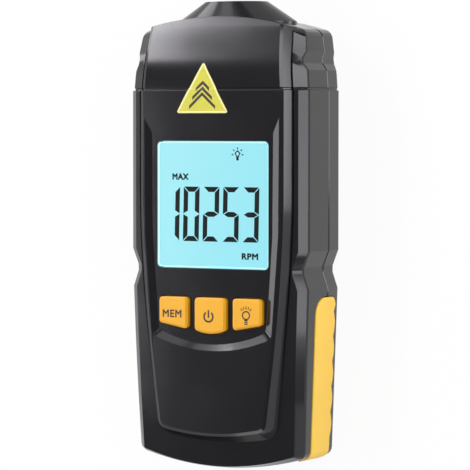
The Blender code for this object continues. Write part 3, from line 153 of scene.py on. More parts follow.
class Finish:
    """A node material that is put together from expressions."""

    def __init__(self, name):
        self.material = bpy.data.materials.new(name)
        self.material.use_nodes = True
        self.tree = self.material.node_tree
        self.tree.nodes.clear()

    def node(self, kind, settings=None, inputs=None, output=0):
        """Adds a node, sets it up, fills its sockets and returns one of its outputs."""
        made = self.tree.nodes.new("ShaderNode" + kind)
        for name, value in (settings or {}).items():
            setattr(made, name, value)
        for name, value in (inputs or {}).items():
            if isinstance(value, Field):
                self.tree.links.new(value.socket, made.inputs[name])
            else:
                made.inputs[name].default_value = value
        return Field(self, made.outputs[output]) if made.outputs else None

    def place(self):
        """The point on the piece, in metres."""
        return self.node("TexCoord", output="Object")

    def axes(self, place):
        """The three coordinates of a point."""
        first = self.node("SeparateXYZ", None, {0: place})
        return [Field(self, socket) for socket in first.socket.node.outputs]

    def noise(self, place, size, detail=2.0):
        """Smooth random values about a half, with features of a size in metres."""
        return self.node("TexNoise", None, {"Vector": place, "Scale": 1 / size, "Detail": detail})

    def mix(self, first, second, factor):
        """A colour between two colours."""
        return self.node("Mix", {"data_type": "RGBA"}, {0: factor, 6: first, 7: second}, 2)

    def bump(self, height, distance, normal):
        """The normal tilted by a height between nought and one."""
        return self.node("Bump", None, {
            "Strength": 1.0, "Distance": distance, "Height": height, "Normal": normal})

    def edges(self, radius):
        """The normal with its edges rounded, and a mask of those edges."""
        rounded = self.node("Bevel", {"samples": EDGE_SAMPLES}, {"Radius": radius})
        flat = self.node("NewGeometry", output="Normal")
        facing = self.node("VectorMath", {"operation": "DOT_PRODUCT"}, {0: rounded, 1: flat},
                           "Value")
        return rounded, ((1 - facing) * EDGE_CONTRAST).limited()

    def close(self, sockets):
        """Closes the material with one Principled surface."""
        return self.output(self.node("BsdfPrincipled", None, sockets))

    def output(self, surface):
        """Ends the material in a surface."""
        self.node("OutputMaterial", None, {"Surface": surface})
        return self.material


def opaque(colour, shade=1.0):
    """A colour with full alpha, made lighter or darker."""
    return (colour[0] * shade, colour[1] * shade, colour[2] * shade, 1.0)


def moulded(name, colour, roughness, grain=0.14 * MM, depth=0.002 * MM, radius=EDGE_RADIUS):
    """A moulded plastic or rubber: fine grain, uneven gloss, and edges rubbed smooth by the hand."""
    gloss_spread = 0.06
    polish = 0.05
    finish = Finish(name)
    place = finish.place()
    grains = finish.noise(place, grain, 2.0)
    clouds = finish.noise(place, 14 * MM, 4.0)
    rounded, edge = finish.edges(radius)
    rubbed = edge * finish.noise(place, 2.5 * MM, 3.0)
    tone = finish.mix(opaque(colour, 0.92), opaque(colour, 1.08), clouds)
    return finish.close({
        "Base Color": finish.mix(tone, opaque(colour, 1.35), rubbed),
        "Roughness": roughness + (clouds - 0.5) * gloss_spread - rubbed * polish,
        "Normal": finish.bump(grains, depth, rounded),
    })


def brushed(name, colour, roughness, stretch=(1.0, 1.0, 1.0)):
    """A bare or plated metal with fine marks, which a stretch draws along one direction."""
    gloss_spread = 0.20
    mark_depth = 0.003 * MM
    finish = Finish(name)
    place = finish.place()
    drawn = finish.node("VectorMath", {"operation": "MULTIPLY"}, {0: place, 1: stretch})
    marks = finish.noise(drawn, 0.25 * MM, 3.0)
    stains = finish.noise(place, 3 * MM, 4.0)
    rounded, edge = finish.edges(EDGE_RADIUS)
    return finish.close({
        "Base Color": finish.mix(opaque(colour, 0.80), opaque(colour), stains),
        "Metallic": 1.0,
        "Roughness": roughness + (marks - 0.5) * gloss_spread + edge * 0.05,
        "Normal": finish.bump(marks, mark_depth, rounded),
    })


def clear_sheet(name, tint, roughness):
    """A thin clear moulding: it lets the light through, and mirrors more the flatter it is seen."""
    least_mirror = 0.04
    finish = Finish(name)
    haze = finish.noise(finish.place(), 9 * MM, 4.0)
    turned = finish.node("LayerWeight", None, {"Blend": 0.5}, "Facing")
    mirror = turned * turned * turned * turned * turned * (1 - least_mirror) + least_mirror
    through = finish.node("BsdfTransparent", None, {"Color": opaque(tint)})
    shine = finish.node("BsdfGlossy", None, {
        "Color": (1.0, 1.0, 1.0, 1.0), "Roughness": roughness + haze * 0.03})
    return finish.output(finish.node("MixShader", None, {0: mirror, 1: through, 2: shine}))


def lit_glass(name, left, right, strength):
    """The display's glass, lit from behind, with a painted reflection that makes it lighter towards
    the upper left.
    """
    slope_x, slope_y, middle, unevenness = 22, 9, 0.42, 0.3
    dimmed = 0.15
    finish = Finish(name)
    place = finish.place()
    x, y = finish.axes(place)[:2]
    clouds = finish.noise(place, 12 * MM, 2.0)
    # Painted reflection: a diagonal blend from the lighter left colour to the darker right one,
    # lighter towards the upper left, in both the glow and the base colour.
    painted_reflection_blend = (x * slope_x - y * slope_y + middle + (clouds - 0.5) * unevenness).limited()
    glow = finish.mix(opaque(left), opaque(right), painted_reflection_blend)
    return finish.close({
        "Base Color": finish.mix(opaque(left, dimmed), opaque(right, dimmed), painted_reflection_blend),
        "Roughness": 0.25,
        "Emission Color": glow,
        "Emission Strength": strength,
    })


def striped(name, dark, light, pitch):
    """A contact strip of carbon layers between plain rubber."""
    finish = Finish(name)
    place = finish.place()
    x = finish.axes(place)[0]
    wave = finish.node("Math", {"operation": "PINGPONG"}, {0: x, 1: pitch})
    layer = wave > pitch / 2
    grains = finish.noise(place, 0.2 * MM, 2.0)
    return finish.close({
        "Base Color": finish.mix(opaque(light), opaque(dark), layer),
        "Roughness": 0.55 + layer * 0.2,
        "Normal": finish.bump(grains, 0.004 * MM, finish.node("NewGeometry", output="Normal")),
    })


def laminate(name, mask, copper):
    """A circuit board: solder mask over raised tracks, and bare laminate at its edges."""
    cell_size, track_share, track_depth = 3.2 * MM, 0.06, 0.02 * MM
    finish = Finish(name)
    place = finish.place()
    cells = finish.node("TexVoronoi", {"distance": "MANHATTAN", "feature": "DISTANCE_TO_EDGE"}, {
        "Vector": place, "Scale": 1 / cell_size})
    track = cells < track_share
    weave = finish.noise(place, 0.5 * MM, 2.0)
    rounded, edge = finish.edges(0.1 * MM)
    covered = finish.mix(opaque(mask), opaque(mask, 1.9), track)
    return finish.close({
        "Base Color": finish.mix(covered, opaque(copper, 0.6), edge),
        "Roughness": 0.32 + (weave - 0.5) * 0.15,
        "Normal": finish.bump(track * 0.8 + weave * 0.2, track_depth, rounded),
    })


def printed(name, colour, roughness=0.5, shine=0.5):
    """A pad-printed or inked mark with a slightly uneven film."""
    finish = Finish(name)
    film = finish.noise(finish.place(), 0.5 * MM, 3.0)
    return finish.close({
        "Base Color": finish.mix(opaque(colour, 0.9), opaque(colour, 1.15), film),
        "Roughness": roughness + (film - 0.5) * 0.1,
        "Specular IOR Level": shine,
    })


def glowing(name, colour, strength):
    """A clear plastic that glows: the light guide that carries the backlight, and the window's edge,
    where the glow is painted.
    """
    finish = Finish(name)
    film = finish.noise(finish.place(), 4 * MM, 2.0)
    return finish.close({
        "Base Color": opaque(colour, 0.6),
        "Roughness": 0.3 + film * 0.1,
        "Emission Color": finish.mix(opaque(colour, 0.9), opaque(colour), film),
        "Emission Strength": strength,
    })


def foil_wrap(name, sleeve, plate, top_y, plate_depth):
    """A battery in a plain metallised wrap, with bare plate at the terminal end."""
    fold_radius, wrinkle_depth = 0.4 * MM, 0.05 * MM
    finish = Finish(name)
    place = finish.place()
    y = finish.axes(place)[1]
    bare = y > top_y - plate_depth
    wrinkle = finish.noise(place, 5 * MM, 5.0)
    rounded = finish.edges(fold_radius)[0]
    return finish.close({
        "Base Color": finish.mix(opaque(sleeve), opaque(plate), bare),
        "Metallic": 0.3 + bare * 0.7,
        "Roughness": 0.28 + wrinkle * 0.12,
        "Normal": finish.bump(wrinkle, wrinkle_depth, rounded),
    })


def add_piece(name, form, material, body, weighted=False):
    """Makes a piece from a form. It rides on a body and takes a slot's finish."""
    mesh = bpy.data.meshes.new(name)
    form.to_mesh(mesh)
    form.free()
    mesh.materials.clear()
    mesh.materials.append(material)
    piece = bpy.data.objects.new(name, mesh)
    bpy.context.scene.collection.objects.link(piece)
    if weighted:
        shading = piece.modifiers.new("even shading", "WEIGHTED_NORMAL")
        shading.keep_sharp = True
    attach(piece, body)
    return piece


def merged_copy(node):
    """A form with a CAD node's shape, its triangles joined and its flat faces whole."""
    form = bmesh.new()
    form.from_mesh(frame["nodes"][node].data)
    bmesh.ops.remove_doubles(form, verts=form.verts, dist=MERGE)
    bmesh.ops.dissolve_limit(form, angle_limit=FLAT_ANGLE, verts=form.verts, edges=form.edges)
    return form


def shade_smooth(form):
    """Smooth faces, with hard edges where the form turns sharply, and round broad or level faces."""
    for face in form.faces:
        face.smooth = True
        face.material_index = 0
    broad = {face: face.calc_area() / max(edge.calc_length() for edge in face.edges) > FACET_WIDTH
             for face in form.faces}
    for edge in form.edges:
        level = any(face.normal.z > LEVEL for face in edge.link_faces)
        creased = level or all(broad[face] for face in edge.link_faces)
        edge.smooth = edge.calc_face_angle(0.0) < (CREASE_ANGLE if creased else SHARP_ANGLE)


def dress(node, name, material):
    """Lets a smooth-shaded piece stand in for a CAD node."""
    form = merged_copy(node)
    shade_smooth(form)
    piece = add_piece(name, form, material, frame["nodes"][node]["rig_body"], True)
    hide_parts(node)
    return piece


def paint(material, *nodes):
    """Gives CAD nodes whose shape is kept their finish."""
    for node in nodes:
        solid = frame["nodes"][node].data
        solid.materials.clear()
        solid.materials.append(material)


def surface_of(node):
    """A CAD node's surface, to lay prints on."""
    form = bmesh.new()
    form.from_mesh(frame["nodes"][node].data)
    tree = BVHTree.FromBMesh(form)
    form.free()
    return tree


def lay(form, tree, lift):
    """Drops a flat form onto a surface from above, and leaves it a film's thickness proud."""
    above = CAD_BOX[1][2] + HEADROOM
    for vert in form.verts:
        start = Vector((vert.co.x, vert.co.y, above))
        hit = tree.ray_cast(start, Vector((0, 0, -1)), above)[0]
        if hit is None:
            raise RuntimeError("a print hangs past the surface that it lies on")
        vert.co.z = hit.z + lift


def move(form, x, y, z=0.0):
    """Moves a whole form."""
    bmesh.ops.translate(form, verts=form.verts, vec=(x, y, z))


def hollow_out(form, face, width):
    """Leaves only a band of a width along the inside of a face's outline."""
    bmesh.ops.inset_region(form, faces=[face], thickness=width, use_boundary=True,
                           use_even_offset=True)
    bmesh.ops.delete(form, geom=[face], context="FACES_ONLY")


def flat_ring(form, radius, inner, segments):
    """A ring in the XY plane."""
    disc = bmesh.ops.create_circle(form, cap_ends=True, segments=segments, radius=radius)
    hollow_out(form, disc["verts"][0].link_faces[0], radius - inner)


def round_corners(form, radius):
    """Rounds the corners of a flat face."""
    bmesh.ops.bevel(form, geom=form.verts[:], offset=radius, segments=CORNER_STEPS, profile=0.5,
                    affect="VERTICES", material=-1)


def lettering(text, width, height, weight):
    """A flat form of a word about the origin, fitted to a width and a height, in bolder strokes."""
    curve = bpy.data.curves.new(text, "FONT")
    curve.body = text
    curve.space_character = LETTER_SPACING
    holder = bpy.data.objects.new(text, curve)
    bpy.context.scene.collection.objects.link(holder)
    bpy.context.view_layer.update()
    depsgraph = bpy.context.evaluated_depsgraph_get()
    mesh = bpy.data.meshes.new_from_object(holder.evaluated_get(depsgraph))
    form = bmesh.new()
    form.from_mesh(mesh)
    bpy.data.objects.remove(holder)
    bpy.data.curves.remove(curve)
    bpy.data.meshes.remove(mesh)
    fit_to(form, width - 2 * weight, height - 2 * weight)
    swell(form, weight)
    return form


def swell(form, growth):
    """Moves the outline of a flat form outwards, less so at a sharp corner."""
    shortest_edge, least_turn = 0.01 * MM, 0.3
    bmesh.ops.remove_doubles(form, verts=form.verts, dist=shortest_edge)
    outward = {}
    for edge in form.edges:
        if edge.is_boundary:
            loop = edge.link_loops[0]
            along = (loop.link_loop_next.vert.co - loop.vert.co).normalized()
            normal = Vector((along.y, -along.x, 0.0))
            for vert in edge.verts:
                outward.setdefault(vert, []).append(normal)
    for vert, (first, second) in outward.items():
        vert.co += (first + second) * growth / max(1 + first.dot(second), least_turn)


def fit_to(form, width, height):
    """Centres a flat form on the origin and fits it to a width and a height."""
    low = Vector([min(vert.co[axis] for vert in form.verts) for axis in range(3)])
    high = Vector([max(vert.co[axis] for vert in form.verts) for axis in range(3)])
    size = high - low
    bmesh.ops.translate(form, verts=form.verts, vec=-(low + high) / 2)
    bmesh.ops.scale(form, verts=form.verts, vec=(width / size.x, height / size.y, 1.0))


def join(target, *forms):
    """Adds forms to a form and frees them."""
    for form in forms:
        mesh = bpy.data.meshes.new("joined")
        form.to_mesh(mesh)
        form.free()
        target.from_mesh(mesh)
        bpy.data.meshes.remove(mesh)


def flat_face(form, outline):
    """One face in the XY plane from its corners, seen from above."""
    face = form.faces.new([form.verts.new((x, y, 0.0)) for x, y in outline])
    face.normal_update()
    if face.normal.z < 0:
        face.normal_flip()
    return face


def strip(form, start, end, thickness):
    """A straight stroke between two points."""
    start, end = Vector(start), Vector(end)
    side = (end - start).normalized().orthogonal() * thickness / 2
    flat_face(form, (start - side, start + side, end + side, end - side))


def fan_of_rays(form, start, end, thickness, degrees):
    """Five short strokes about the origin that point upwards and fan out in equal steps."""
    for step in range(-2, 3):
        turn = math.radians(90 - degrees * step)
        ray = Vector((math.cos(turn), math.sin(turn)))
        strip(form, ray * start * MM, ray * end * MM, thickness)


def digit_bars(width, height, thickness, gap):
    """The outlines of a digit's seven bars about its middle, with mitred ends."""
    x, y, t = width / 2, height / 2, thickness
    top = ((gap - x, y), (x - gap, y), (x - t - gap, y - t), (t + gap - x, y - t))
    left = ((-x, y - gap), (t - x, y - t - gap), (t - x, t / 2 + gap), (-x, gap / 2))
    middle = ((t / 8 + gap - x, 0.0), (t + gap - x, t / 2), (x - t - gap, t / 2),
              (x - t / 8 - gap, 0.0), (x - t - gap, -t / 2), (t + gap - x, -t / 2))
    return {
        "a": top, "g": middle, "d": [(u, -v) for u, v in top],
        "f": left, "e": [(u, -v) for u, v in left],
        "b": [(-u, v) for u, v in left], "c": [(-u, -v) for u, v in left],
    }


class TachometerSettings(bpy.types.PropertyGroup):
    """What a user would change on the tachometer."""

    body_colour: bpy.props.FloatVectorProperty(
        name="Body colour", description="Black moulding of the housing",
        subtype="COLOR", size=3, min=0.0, max=1.0, default=(0.0085, 0.0080, 0.0095))
    key_colour: bpy.props.FloatVectorProperty(
        name="Key colour", description="Orange moulding of the keys",
        subtype="COLOR", size=3, min=0.0, max=1.0, default=(0.78, 0.38, 0.004))
    grip_colour: bpy.props.FloatVectorProperty(
        name="Grip colour", description="Amber rubber of the side grips",
        subtype="COLOR", size=3, min=0.0, max=1.0, default=(0.86, 0.55, 0.064))
    legend_colour: bpy.props.FloatVectorProperty(
        name="Legend colour", description="Print on the keys",
        subtype="COLOR", size=3, min=0.0, max=1.0, default=(0.030, 0.012, 0.008))
    mark_colour: bpy.props.FloatVectorProperty(
        name="Aim mark colour", description="Yellow print of the aim mark",
        subtype="COLOR", size=3, min=0.0, max=1.0, default=(0.58, 0.55, 0.045))
    mark_rim_colour: bpy.props.FloatVectorProperty(
        name="Aim mark rim colour", description="Pale edge of the aim mark",
        subtype="COLOR", size=3, min=0.0, max=1.0, default=(0.80, 0.77, 0.30))
    # The two display colours carry a painted reflection: the left one is lighter, and the glass
    # blends between them along a diagonal.
    glow_left: bpy.props.FloatVectorProperty(
        name="Display colour, left", description="Backlight at the display's left",
        subtype="COLOR", size=3, min=0.0, max=1.0, default=(0.335, 0.765, 0.835))
    glow_right: bpy.props.FloatVectorProperty(
        name="Display colour, right", description="Backlight at the display's right",
        subtype="COLOR", size=3, min=0.0, max=1.0, default=(0.275, 0.740, 0.835))
    glow_strength: bpy.props.FloatProperty(
        name="Backlight strength", description="How bright the display is lit",
        default=1.0, min=0.0)
    reading: bpy.props.StringProperty(
        name="Reading", description="The digits on the display", default="10253")
    digit_height: bpy.props.FloatProperty(
        name="Digit height", description="Height of the display's digits",
        default=15.3 * MM, min=0.001, unit="LENGTH")
    digit_width: bpy.props.FloatProperty(
        name="Digit width", description="Width of one digit",
        default=5.1 * MM, min=0.001, unit="LENGTH")
    digit_pitch: bpy.props.FloatProperty(
        name="Digit pitch", description="Distance from one digit to the next",
        default=6.32 * MM, min=0.001, unit="LENGTH")
    bar_thickness: bpy.props.FloatProperty(
        name="Bar thickness", description="Thickness of a digit's bars",
        default=1.44 * MM, min=0.0001, unit="LENGTH")
    film: bpy.props.FloatProperty(
        name="Print thickness", description="How far a print stands proud of what it lies on",
        default=0.01 * MM, min=0.0, unit="LENGTH")
    mark_side: bpy.props.FloatProperty(
        name="Aim mark side", description="Length of the aim mark's sides",
        default=16.6 * MM, min=0.001, unit="LENGTH")


def settings():
    """The tachometer's settings in this scene."""
    return bpy.context.scene.tachometer


class HousingOperator(bpy.types.Operator):
    """Dresses both shells, the battery door and the nose"""
    bl_idname = "tachometer.housing"
    bl_label = "Housing"

    def execute(self, context):
        colour = settings().body_colour
        black = moulded("black moulding", colour, 0.12, grain=0.3 * MM, depth=0.0012 * MM)
        dress("front_shell", "housing_front", black)
        dress("rear_shell", "housing_rear", black)
        dress("battery_door", "battery_cover", black)
        smooth = moulded("nose moulding", colour, 0.16, grain=0.3 * MM, depth=0.001 * MM)
        dress("sensor_hood", "nose", smooth)
        return {"FINISHED"}


class GripsOperator(bpy.types.Operator):
    """Dresses the soft side grips"""
    bl_idname = "tachometer.grips"
    bl_label = "Side grips"

    def execute(self, context):
        rubber = moulded("amber rubber", settings().grip_colour, 0.52, depth=0.008 * MM,
                         radius=0.5 * MM)
        dress("grip_left", "side_grip_left", rubber)
        dress("grip_right", "side_grip_right", rubber)
        return {"FINISHED"}


class KeysOperator(bpy.types.Operator):
    """Dresses the three keys and prints their legends"""
    bl_idname = "tachometer.keys"
    bl_label = "Keys"

    def execute(self, context):
        orange = moulded("orange moulding", settings().key_colour, 0.38, radius=0.5 * MM)
        ink = printed("key legend", settings().legend_colour)
        for kind in ("mem", "power", "light"):
            dress(f"{kind}_button", f"key_{kind}", orange)
            form = getattr(self, kind + "_legend")()
            lay(form, surface_of(f"{kind}_button"), settings().film)
            add_piece(f"legend_{kind}", form, ink, f"{kind}_key")
        return {"FINISHED"}

    def mem_legend(self):
        """The memory key's word."""
        form = lettering("MEM", 6.1 * MM, 2.15 * MM, 0.09 * MM)
        move(form, *MEM_PLACE)
        return form

    def power_legend(self):
        """A ring that is open at its top, with an upright bar in the opening."""
        outer, inner, segments = 1.66 * MM, 1.14 * MM, 40
        opening = 0.9 * MM
        bar_foot, bar_head, bar_width = -0.28 * MM, 1.87 * MM, 0.50 * MM
        form = bmesh.new()
        flat_ring(form, outer, inner, segments)
        middles = [(face, face.calc_center_median()) for face in form.faces]
        gap = [face for face, middle in middles if middle.y > opening and abs(middle.x) < opening]
        bmesh.ops.delete(form, geom=gap, context="FACES")
        strip(form, (0.0, bar_foot), (0.0, bar_head), bar_width)
        move(form, *POWER_PLACE)
        return form

    def light_legend(self):
        """A ring for the bulb, three strips for its cap, and five rays over it."""
        outer, inner, segments = 1.30 * MM, 0.90 * MM, 32
        cap_strips, cap_width = ((1.20, 1.62), (1.78, 2.12), (2.28, 2.60)), 1.05 * MM
        form = bmesh.new()
        flat_ring(form, outer, inner, segments)
        for top, bottom in cap_strips:
            strip(form, (0.0, -top * MM), (0.0, -bottom * MM), cap_width)
        fan_of_rays(form, 1.72, 2.50, 0.30 * MM, 21)
        move(form, *LIGHT_PLACE)
        return form


class DisplayOperator(bpy.types.Operator):
    """Lights the display and draws its digits"""
    bl_idname = "tachometer.display"
    bl_label = "Display"

    def execute(self, context):
        chosen = settings()
        clear = clear_sheet("clear window", (0.97, 0.985, 0.985), 0.03)
        dress("display_window", "display_cover", clear)
        glass = lit_glass("lit display glass", chosen.glow_left, chosen.glow_right,
                          chosen.glow_strength)
        dress("lcd_glass", "display_glass", glass)
        segment = printed("display segment", (0.001, 0.003, 0.004), 0.45, shine=0.1)
        form = bmesh.new()
        self.draw_digits(form)
        self.draw_icon(form)
        self.draw_words(form)
        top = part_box("lcd_glass")[1].z
        for vert in form.verts:
            vert.co.z = top + chosen.film
        add_piece("display_segments", form, segment, "housing")
        self.draw_painted_glow_rim(top)
        self.dress_stack()
        return {"FINISHED"}

    def draw_words(self, form):
        """The words beside the digits: the kind of reading above them, and its unit below."""
        for text, place in (("MAX", MAX_PLACE), ("RPM", RPM_PLACE)):
            word = lettering(text, 5.2 * MM, 1.8 * MM, 0.125 * MM)
            move(word, *place)
            join(form, word)

    def draw_digits(self, form):
        """The reading in seven-bar digits that lean a little, from the last digit to the first."""
        chosen = settings()
        last_x, middle_y, lean, gap = 11.87 * MM, 6.02 * MM, 0.022, 0.16 * MM
        bars = digit_bars(chosen.digit_width, chosen.digit_height, chosen.bar_thickness, gap)
        for place, digit in enumerate(reversed(chosen.reading)):
            centre = last_x - place * chosen.digit_pitch
            for letter in BARS_OF_DIGIT[digit]:
                flat_face(form, [(centre + x + y * lean, middle_y + y) for x, y in bars[letter]])

    def draw_icon(self, form):
        """A small lamp with rays, for the display's own light."""
        icon = bmesh.new()
        outer = ((0.0, 1.15), (0.95, 0.30), (0.38, -0.85), (-0.38, -0.85), (-0.95, 0.30))
        cap_top, cap_foot, cap_width = -0.80 * MM, -1.75 * MM, 0.76 * MM
        bulb = flat_face(icon, [(x * MM, y * MM) for x, y in outer])
        hollow_out(icon, bulb, 0.34 * MM)
        strip(icon, (0.0, cap_top), (0.0, cap_foot), cap_width)
        fan_of_rays(icon, 1.34, 1.86, 0.36 * MM, 48)
        move(icon, *ICON_PLACE)
        join(form, icon)

    def draw_painted_glow_rim(self, top):
        """A painted glow along the window's edge, from its face down to the glass: the band emits
        light, though the edge is no lamp.
        """
        corner_radius, width, below_face = 1.0 * MM, 0.22 * MM, 0.05 * MM
        low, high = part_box("display_window")
        form = bmesh.new()
        verts = bmesh.ops.create_grid(form, x_segments=1, y_segments=1, size=0.5)["verts"]
        bmesh.ops.scale(form, verts=verts, vec=(high.x - low.x, high.y - low.y, 1.0))
        round_corners(form, corner_radius)
        face = form.faces[:][0]
        bmesh.ops.inset_region(form, faces=[face], thickness=width, use_boundary=True,
                               use_even_offset=True)
        outer = [vert for vert in form.verts if vert not in set(face.verts)]
        bmesh.ops.translate(form, verts=outer, vec=(0.0, 0.0, high.z - top - below_face))
        bmesh.ops.delete(form, geom=[face], context="FACES_ONLY")
        move(form, (low.x + high.x) / 2, (low.y + high.y) / 2, top + settings().film)
        # The window edge's emission is a painted glow, not a lamp.
        add_piece("display_painted_glow_rim", form, glowing("painted glow window edge", (0.55, 0.90, 0.94), 0.90),
                  "housing")

    def dress_stack(self):
        """Gives what lies behind the glass its finishes."""
        paint(glowing("light guide", (0.55, 0.85, 0.95), 0.6), "backlight")
        paint(moulded("grey moulding", (0.10, 0.10, 0.11), 0.5), "lcd_frame")
        contact = striped("contact strip", (0.01, 0.01, 0.01), (0.35, 0.08, 0.08), 0.12 * MM)
        paint(contact, "zebra_strip")


class AimMarkOperator(bpy.types.Operator):
    """Prints the plain mark whose chevrons point to the end that is aimed"""
    bl_idname = "tachometer.aim_mark"
    bl_label = "Aim mark"

    def execute(self, context):
        chosen = settings()
        base_y, centre_x, rim = 34.25 * MM, -2.75 * MM, 0.55 * MM
        field_round, rim_round = 0.3 * MM, 0.9 * MM
        first_y, spacing = -2.7 * MM, 2.5 * MM
        height = chosen.mark_side * math.sqrt(0.75)
        middle = (centre_x, base_y + height / 3)
        shell = surface_of("front_shell")
        field = self.triangle(chosen.mark_side - rim * math.sqrt(12), field_round)
        ring = self.triangle(chosen.mark_side, rim_round)
        hollow_out(ring, ring.faces[:][0], rim)
        chevrons = bmesh.new()
        for count in range(3):
            reach = chosen.mark_side * (0.50 - 0.12 * count)
            self.chevron(chevrons, reach, spacing * count + first_y)
        for form in (ring, field, chevrons):
            move(form, *middle)
            self.cut(form, base_y)
        lay(ring, shell, chosen.film)
        lay(field, shell, chosen.film)
        lay(chevrons, BVHTree.FromBMesh(field, epsilon=0.01 * MM), chosen.film)
        for name, form, colour in (
                ("aim_mark_rim", ring, chosen.mark_rim_colour),
                ("aim_mark_field", field, chosen.mark_colour),
                ("aim_mark_chevrons", chevrons, chosen.legend_colour)):
            film = printed(name.replace("_", " "), colour, 0.4)
            add_piece(name, form, film, "housing")
        return {"FINISHED"}

    def triangle(self, side, round_off):
        """A triangle that points to the nose, with rounded corners."""
        form = bmesh.new()
        reach = side / math.sqrt(3)
        turns = [math.radians(90 + 120 * corner) for corner in range(3)]
        flat_face(form, [(reach * math.cos(turn), reach * math.sin(turn)) for turn in turns])
        round_corners(form, round_off)
        return form

    def chevron(self, form, reach, y):
        """An open arrowhead that points to the nose."""
        rise, stroke = reach * 0.45, 1.0 * MM
        outline = ((0.0, y + rise), (reach / 2, y), (reach / 2, y - stroke),
                   (0.0, y + rise - stroke), (-reach / 2, y - stroke), (-reach / 2, y))
        flat_face(form, outline)

    def cut(self, form, base_y):
        """Cuts a print into strips that can follow the shell, but not down into the seam groove."""
        step, seam_y, seam_reach = 0.5 * MM, 40.95 * MM, 0.45 * MM
        rows = [base_y + count * step for count in range(int(settings().mark_side / step))]
        rows = [y for y in rows if abs(y - seam_y) > seam_reach]
        for y in rows + [seam_y - seam_reach, seam_y + seam_reach]:
            geometry = form.verts[:] + form.edges[:] + form.faces[:]
            bmesh.ops.bisect_plane(form, geom=geometry, dist=CUT_REACH, plane_co=(0, y, 0),
                                   plane_no=(0, 1, 0))


class OpticsOperator(bpy.types.Operator):
    """Dresses the sensor window and the optical head behind it"""
    bl_idname = "tachometer.optics"
    bl_label = "Optics"

    def execute(self, context):
        clear = clear_sheet("clear optics", (0.93, 0.80, 0.80), 0.04)
        dress("sensor_window", "sensor_cover", clear)
        paint(clear_sheet("clear lens", (0.97, 0.98, 0.98), 0.02), "receiver_lens")
        paint(moulded("optics moulding", (0.05, 0.05, 0.055), 0.5), "optics_holder")
        paint(brushed("turned brass", (0.72, 0.50, 0.20), 0.28, (1.0, 6.0, 1.0)), "laser_module")
        paint(moulded("dark epoxy", (0.010, 0.010, 0.012), 0.25), "photodiode")
        return {"FINISHED"}


class BoardOperator(bpy.types.Operator):
    """Gives the board and what is soldered to it their finishes"""
    bl_idname = "tachometer.board"
    bl_label = "Circuit board"

    def execute(self, context):
        paint(laminate("board laminate", (0.010, 0.11, 0.035), (0.70, 0.55, 0.25)), "main_board")
        epoxy = moulded("black epoxy", (0.012, 0.012, 0.012), 0.5)
        paint(epoxy, "controller_chip", "mem_plunger", "power_plunger", "light_plunger")
        paint(brushed("crystal can", (0.62, 0.62, 0.60), 0.3, (6.0, 1.0, 1.0)), "quartz_crystal")
        switch = brushed("switch can", (0.58, 0.58, 0.57), 0.35)
        paint(switch, "mem_switch", "power_switch", "light_switch")
        return {"FINISHED"}


class BatteryOperator(bpy.types.Operator):
    """Dresses the battery, its snap and its leads"""
    bl_idname = "tachometer.battery"
    bl_label = "Battery"

    def execute(self, context):
        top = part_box("battery")[1].y
        wrap = foil_wrap("battery wrap", (0.045, 0.055, 0.10), (0.60, 0.60, 0.58), top, 3.2 * MM)
        dress("battery", "battery_wrapped", wrap)
        black = moulded("soft black", (0.012, 0.012, 0.013), 0.5)
        paint(black, "battery_snap")
        dress("battery_lead_black", "lead_black", black)
        dress("battery_lead_red", "lead_red", moulded("red jacket", (0.50, 0.02, 0.02), 0.4))
        return {"FINISHED"}


class ScrewsOperator(bpy.types.Operator):
    """Dresses the case screws and the board screws"""
    bl_idname = "tachometer.screws"
    bl_label = "Screws"

    def execute(self, context):
        steel = brushed("plated steel", (0.60, 0.60, 0.58), 0.30)
        for count in range(1, 5):
            dress(f"case_screw_{count}", f"case_screw_{count}_plated", steel)
            paint(steel, f"board_screw_{count}")
        return {"FINISHED"}


